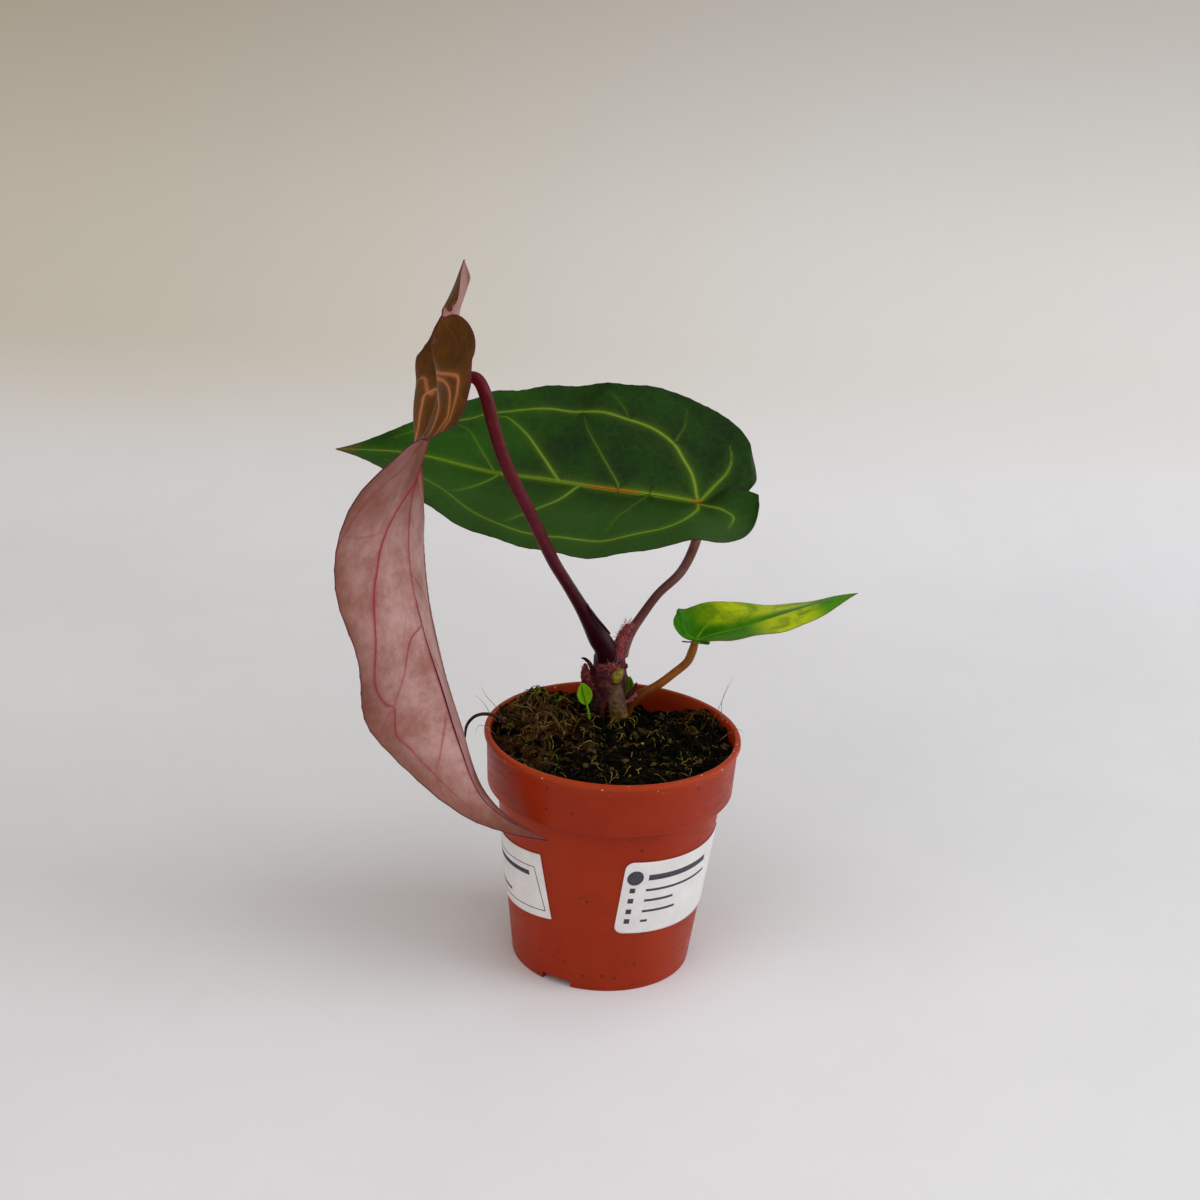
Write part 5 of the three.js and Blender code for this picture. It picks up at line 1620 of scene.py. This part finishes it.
fine = cloud(tree, place, 600.0, 6.0, 0.7)
feed(tree, shader, Base_Color=colour, Normal=relief(tree, fine, 0.0012, 0.9))
add_piece(bm, "peat_body", [peat], ["soil"])

# %% [markdown]
# ## Crumbs of peat
# Crumbs lie all over the peat, most of them tiny, with bigger clods round the left and the
# back. Thousands of objects would be slow and wouldn't survive an export, so each crumb is
# a copy of one ball of 20 faces, squashed, turned and made uneven, in one mesh.

# %% Crumbs of peat
STEM_PLACE = (-1, 27)


def scatter(draw, reach, clear=8.0):
    """A random place on the peat, clear of the stem."""
    while True:
        r, a = reach * math.sqrt(draw.random()), 2 * math.pi * draw.random()
        x, y = r * math.cos(a), r * math.sin(a)
        if math.hypot(x - STEM_PLACE[0], y - STEM_PLACE[1]) > clear:
            return x, y


def lump(bm, seed_mesh, centre, size, draw):
    """One crumb: a copy of a small ball, squashed, turned and made uneven."""
    start = len(bm.verts)
    bm.from_mesh(seed_mesh)
    bm.verts.ensure_lookup_table()
    turn = Matrix.Rotation(draw.uniform(0, 6.3), 3, Vector(
        (draw.gauss(0, 1), draw.gauss(0, 1), draw.gauss(0, 1))).normalized())
    stretch = Vector((draw.uniform(0.7, 1.3), draw.uniform(0.5, 1.1), draw.uniform(0.4, 0.9)))
    for vert in bm.verts[start:]:
        local = turn @ (vert.co * stretch * size * draw.uniform(0.75, 1.25))
        vert.co = placed(Vector(centre) + local)


bm = bmesh.new()
bmesh.ops.create_icosphere(bm, subdivisions=1, radius=1.0)
ball = bpy.data.meshes.new("ball")
bm.to_mesh(ball)
bm.free()
print("a crumb has", len(ball.polygons), "faces")

# %% Strewn crumbs
crumb_skin, tree, shader = finish_material("peat_crumb", Roughness=0.95,
                                           Specular_IOR_Level=PEAT_SHINE)
place = object_place(tree)
tone = cells(tree, place, 240.0, "F1", "Color")
share = add(tree, "ShaderNodeSeparateColor", {0: tone}).outputs[0]
colour = ramp(tree, share, [(0.0, paint(3, 5, 2)), (0.5, paint(9, 11, 5)),
                            (0.9, paint(26, 21, 10)), (1.0, paint(96, 74, 40))])
sideways, _, _ = along_and_across(tree, place)
left = spread(tree, sideways, *LEFT_SIDE, 0.8, 0.0)
left = calc(tree, "MULTIPLY", left, spread(tree, share, 0.2, 0.7))
colour = blend(tree, left, colour, paint(88, 60, 30))
feed(tree, shader, Base_Color=colour, Normal=relief(tree, cloud(tree, place, 900.0), 0.0008))

CRUMBS = 3400
CRUMB_REACH = 55.0
CLODS = 90
CLOD_RING = (34, 52)
CLOD_TURN = (1.6, 3.7)
CRUMB_SEED = 77

draw = random.Random(CRUMB_SEED)
bm = bmesh.new()
for _ in range(CLODS):
    r, a = draw.uniform(*CLOD_RING), draw.uniform(*CLOD_TURN)
    x, y = r * math.cos(a), r * math.sin(a)
    size = draw.uniform(1.2, 2.9)
    lump(bm, ball, (x, y, rough_height(x, y) + 0.3 * size), size, draw)
for _ in range(CRUMBS):
    x, y = scatter(draw, CRUMB_REACH)
    size = 0.3 + 2.3 * draw.random() ** 4
    lump(bm, ball, (x, y, rough_height(x, y) + 0.25 * size), size, draw)
add_piece(bm, "peat_crumbs", [crumb_skin], smooth_faces=False)

# %% [markdown]
# ## Fibres and moss
# Peat is half-rotted moss and roots, so fibres of several colours lie over it, with green
# threads and small cushions of living moss. Each is a thin rod that wanders over the
# surface: its heading changes a little at every step, and its middle arches up.

# %% Fibres and moss
STRAND_REACH = 53.5
STRAND_STEPS = 4


def strand_material(name, dark, light, roughness=0.8):
    made, tree, shader = finish_material(name, Roughness=roughness, Specular_IOR_Level=0.1)
    tone = cloud(tree, object_place(tree), 300.0, 4.0)
    feed(tree, shader, Base_Color=ramp(tree, tone, [(0.35, dark), (0.65, light)]),
         Normal=relief(tree, cloud(tree, object_place(tree), 1500.0), 0.0002))
    return made


def strands(name, count, seed, length, thick, finish, centre=None, arch=1.2):
    """Thin bent rods that lie on the peat."""
    draw = random.Random(seed)
    bm = bmesh.new()
    for _ in range(count):
        if centre is None:
            x, y = scatter(draw, 52.0, 7.0)
        else:
            x = centre[0] + draw.gauss(0, centre[2])
            y = centre[1] + draw.gauss(0, centre[2])
        heading = draw.uniform(0, 2 * math.pi)
        reach = draw.uniform(*length)
        path = []
        for k in range(STRAND_STEPS + 1):
            beyond = max(math.hypot(x, y) / STRAND_REACH, 1.0)
            x, y = x / beyond, y / beyond
            lift = arch * math.sin(math.pi * k / STRAND_STEPS) * draw.uniform(0.2, 1.6)
            path.append((x, y, rough_height(x, y) + 0.3 + lift))
            heading += draw.gauss(0, 0.55)
            x += reach / STRAND_STEPS * math.cos(heading)
            y += reach / STRAND_STEPS * math.sin(heading)
        radius = draw.uniform(*thick)
        rod(bm, path, [radius * 0.7, radius, radius, radius, radius * 0.4], 8, 4)
    return add_piece(bm, name, [finish])


tan = strand_material("fibre_tan", paint(104, 72, 30), paint(186, 146, 86))
brown = strand_material("fibre_brown", paint(12, 9, 4), paint(46, 33, 15))
ochre = strand_material("fibre_ochre", paint(22, 15, 6), paint(116, 80, 38))
moss = strand_material("moss", paint(48, 62, 4), paint(124, 134, 18))

# name, how many, seed, lengths, radii, finish, where they crowd with how far, and arch
strands("fibres_tan", 90, 5, (4, 14), (0.09, 0.2), tan)
strands("fibres_back", 90, 15, (5, 16), (0.08, 0.22), tan, (-32, 18, 13), 2.0)
strands("fibres_brown", 340, 6, (4, 16), (0.1, 0.34), brown)
strands("fibres_left", 110, 21, (6, 18), (0.08, 0.26), ochre, (-34, 12, 13), 2.0)
strands("moss_threads", 110, 7, (2, 6), (0.1, 0.24), moss, arch=1.8)
strands("moss_tuft", 26, 9, (5, 14), (0.2, 0.4), moss, (-32, 31, 4), 2.4)
strands("fibres_right", 90, 19, (4, 12), (0.08, 0.2), ochre, (42, 27, 9), 1.4)

# %% Moss cushions
MOSS_SEED = 41
MOSS_SPECKS = [
    (14.3, -0.6, 1.1), (-5.3, -26.3, 1.3), (-8.4, -25.4, 0.8), (-19.9, -26.1, 0.9),
    (-28, 8, 0.8), (8.7, 4.6, 0.7), (40, 10, 0.9)]
draw = random.Random(MOSS_SEED)
bm = bmesh.new()
for x, y, size in MOSS_SPECKS:
    lump(bm, ball, (x, y, rough_height(x, y) + 0.8 * size), size, draw)
speck_skin = strand_material("moss_speck", paint(120, 130, 4), paint(186, 190, 40))
add_piece(bm, "moss_specks", [speck_skin])

# %% [markdown]
# ## Roots at the rim
# One dry root curls out of the peat and hangs over the rim, and a few hairs stand up at
# the left and the right. They are placed one by one and not strewn, because each of them
# breaks the outline of the pot and is seen for itself.

# %% Rim root and hairs
RIM_ROOT = [
    (-46, 5, 104), (-50, 2, 113), (-55, -3, 119.5), (-60.3, -9, 122.8), (-64.4, -10, 121.5),
    (-67.5, -10.4, 117.2), (-68.2, -10.6, 110.6)]
RIM_ROOT_RADII = [0.9, 0.9, 0.85, 0.8, 0.75, 0.7, 0.45]
HAIR_RADII = [0.16, 0.14, 0.11, 0.05]
bm = bmesh.new()
rod(bm, RIM_ROOT, RIM_ROOT_RADII, 90, 12)
root_skin = strand_material("root_dark", paint(30, 20, 22), paint(70, 46, 40), 0.6)
add_piece(bm, "rim_root_fine", [root_skin], ["rim_root"])

HAIRS = [
    [(-54, 6, 112), (-58, 3, 118.5), (-60.4, 2, 123), (-65, 1, 128)],
    [(-52, 9, 113), (-56, 6, 121), (-60, 5, 126), (-62.6, 4, 131)],
    [(-54, -8, 112), (-59, -10, 117), (-62, -11, 117.6), (-63.4, -12, 114)],
    [(46, 24, 108), (49, 21, 117), (51.6, 20, 126), (55.4, 20, 137)],
    [(48, 22, 108), (51, 20, 116), (51, 20, 124), (53.4, 20, 133)],
    [(50, 8, 108), (55, 7, 113.5), (58.4, 5, 116.5), (61.6, 3, 115)],
]
bm = bmesh.new()
for path in HAIRS:
    rod(bm, path, HAIR_RADII, 24, 5)
hair_skin = strand_material("root_hair", paint(96, 66, 44), paint(172, 140, 108), 0.6)
add_piece(bm, "rim_hairs", [hair_skin])

# %% [markdown]
# ## Labels
# Two paper labels are stuck on the wall. A cone can be rolled out flat, so a label is laid
# out there as a rectangle and rolled back on. Its print is a disc, a border and plain bars,
# each a thin sheet of ink that is rolled on in the same way.

# %% Labels
LABEL_FACE = 0.5
LABEL_THICKNESS = 0.3
INK_FACE = 0.53
INK_THICKNESS = 0.02
WALL_SLOPE = (BODY_TOP_RADIUS - BASE_RADIUS) / COLLAR_Z
WALL_SINE = WALL_SLOPE / math.hypot(1, WALL_SLOPE)


def on_wall(u, v, azimuth, z, tilt, lift):
    """A place on a label, from its middle, rolled on to the pot's wall."""
    middle = (BASE_RADIUS + WALL_SLOPE * z) / WALL_SINE
    x = u * math.cos(tilt) - v * math.sin(tilt)
    y = middle + u * math.sin(tilt) + v * math.cos(tilt)
    r = np.hypot(x, y) * WALL_SINE
    a = math.radians(azimuth) + np.arctan2(x, y) / WALL_SINE
    return np.stack([(r + lift) * np.cos(a), (r + lift) * np.sin(a),
                     (r - BASE_RADIUS) / WALL_SLOPE], 1)


def label_sheet(name, spec, width, height, corner, material, node):
    """A paper label with cut or rounded corners, rolled on and given its thickness."""
    bm = bmesh.new()
    verts, shares = sheet(bm, 120, 48)
    f = shares * 2 - 1
    u = width / 2 * np.sign(f[:, 0]) * (1 - (1 - np.abs(f[:, 0])) ** 1.3)
    past = np.maximum(np.abs(u) - (width / 2 - corner), 0)
    trim = corner - np.sqrt(np.maximum(corner**2 - past**2, 0))
    v = f[:, 1] * (height / 2 - trim)
    write_uv(bm, verts, np.stack([u / FLAT_UNIT, v / FLAT_UNIT], 1))
    move_to(verts, placed(on_wall(u, v, *spec, LABEL_FACE)))
    bmesh.ops.remove_doubles(bm, verts=verts, dist=WELD)
    bmesh.ops.recalc_face_normals(bm, faces=bm.faces[:])
    bm.normal_update()
    outward = sum(f.normal.dot(f.calc_center_median() - Vector(POT_AXIS)) for f in bm.faces)
    inwards = LABEL_THICKNESS if outward > 0 else -LABEL_THICKNESS
    bmesh.ops.solidify(bm, geom=bm.faces[:], thickness=inwards * MM)
    return add_piece(bm, name, [material], [node])


print("the wall leans out by", round(WALL_SLOPE, 3), "mm a mm")

# %% [markdown]
# ## Paper and ink
# The paper is white but never one flat colour, and the ink is a worn dark grey. Each label
# is given by the place of its middle round the pot in degrees, its height and its tilt.

# %% Two labels
paper, tree, shader = finish_material("label_paper", Roughness=0.6)
place = flat_place(tree)
tone = effect(tree, mottle_group, Place=place, Scale=9.0)["Value"]
colour = blend(tree, tone, paint(224, 221, 220), paint(236, 233, 232))
feed(tree, shader, Base_Color=colour,
     Normal=relief(tree, cloud(tree, place, 160.0, 4.0), 0.0001, 0.4))
ink, tree, shader = finish_material("label_ink", Roughness=0.6)
faded = cloud(tree, flat_place(tree), 120.0, 3.0)
feed(tree, shader, Base_Color=ramp(tree, faded, [(0.35, paint(34, 34, 44)),
                                                 (0.7, paint(78, 78, 90))]))

RIGHT_LABEL = (319.6, 51.5, 0.0)
LEFT_LABEL = (196.0, 48.4, math.radians(4))
label_sheet("label_right_fine", RIGHT_LABEL, 70, 39, 4, paper, "label_right")
label_sheet("label_left_fine", LEFT_LABEL, 70, 34, 0.3, paper, "label_left")

# %% [markdown]
# ## Bars of ink
# The labels carry plain bars, a border and a disc. Each of these is a flat sheet that is
# rolled on in the same way as its label, only a hair further out, so that it lies on the
# paper everywhere and follows the wall round.

# %% Print
def bar(bm, spec, start, end, thick):
    """A printed bar between two places on a label."""
    (u0, v0), (u1, v1) = start, end
    verts, shares = sheet(bm, 24, 2)
    run = math.hypot(u1 - u0, v1 - v0)
    side = (shares[:, 1] - 0.5) * thick
    u = u0 + (u1 - u0) * shares[:, 0] - (v1 - v0) / run * side
    v = v0 + (v1 - v0) * shares[:, 0] + (u1 - u0) / run * side
    write_uv(bm, verts, np.stack([u / FLAT_UNIT, v / FLAT_UNIT], 1))
    move_to(verts, placed(on_wall(u, v, *spec, INK_FACE)))


def disc(bm, spec, centre, radius):
    """A printed disc: a grid wrapped round its centre."""
    verts, shares = sheet(bm, 5, 40)
    a = 2 * math.pi * shares[:, 1]
    u = centre[0] + radius * shares[:, 0] * np.cos(a)
    v = centre[1] + radius * shares[:, 0] * np.sin(a)
    write_uv(bm, verts, np.stack([u / FLAT_UNIT, v / FLAT_UNIT], 1))
    move_to(verts, placed(on_wall(u, v, *spec, INK_FACE)))
    bmesh.ops.remove_doubles(bm, verts=verts, dist=WELD)


bm = bmesh.new()
disc(bm, RIGHT_LABEL, (-29.5, 11), 3.9)
bar(bm, RIGHT_LABEL, (-23, 11), (13, 11), 3.0)
for v, end in ((4.2, 14), (-1.5, -8), (-7.4, -6), (-12.8, -20)):
    bar(bm, RIGHT_LABEL, (-31.2, v), (-28.6, v), 2.6)
    bar(bm, RIGHT_LABEL, (-23.4, v), (end, v), 1.3)
BORDER = [(30, 9.5), (32.4, -13), (-26, -13), (-26, 9.5), (30, 9.5)]
for start, end in zip(BORDER, BORDER[1:]):
    bar(bm, LEFT_LABEL, start, end, 0.45)
bar(bm, LEFT_LABEL, (-20, 5.4), (26, 5.4), 2.4)
bar(bm, LEFT_LABEL, (-20, -9), (8, -9), 1.4)
bmesh.ops.solidify(bm, geom=bm.faces[:], thickness=INK_THICKNESS * MM)
add_piece(bm, "label_print", [ink])
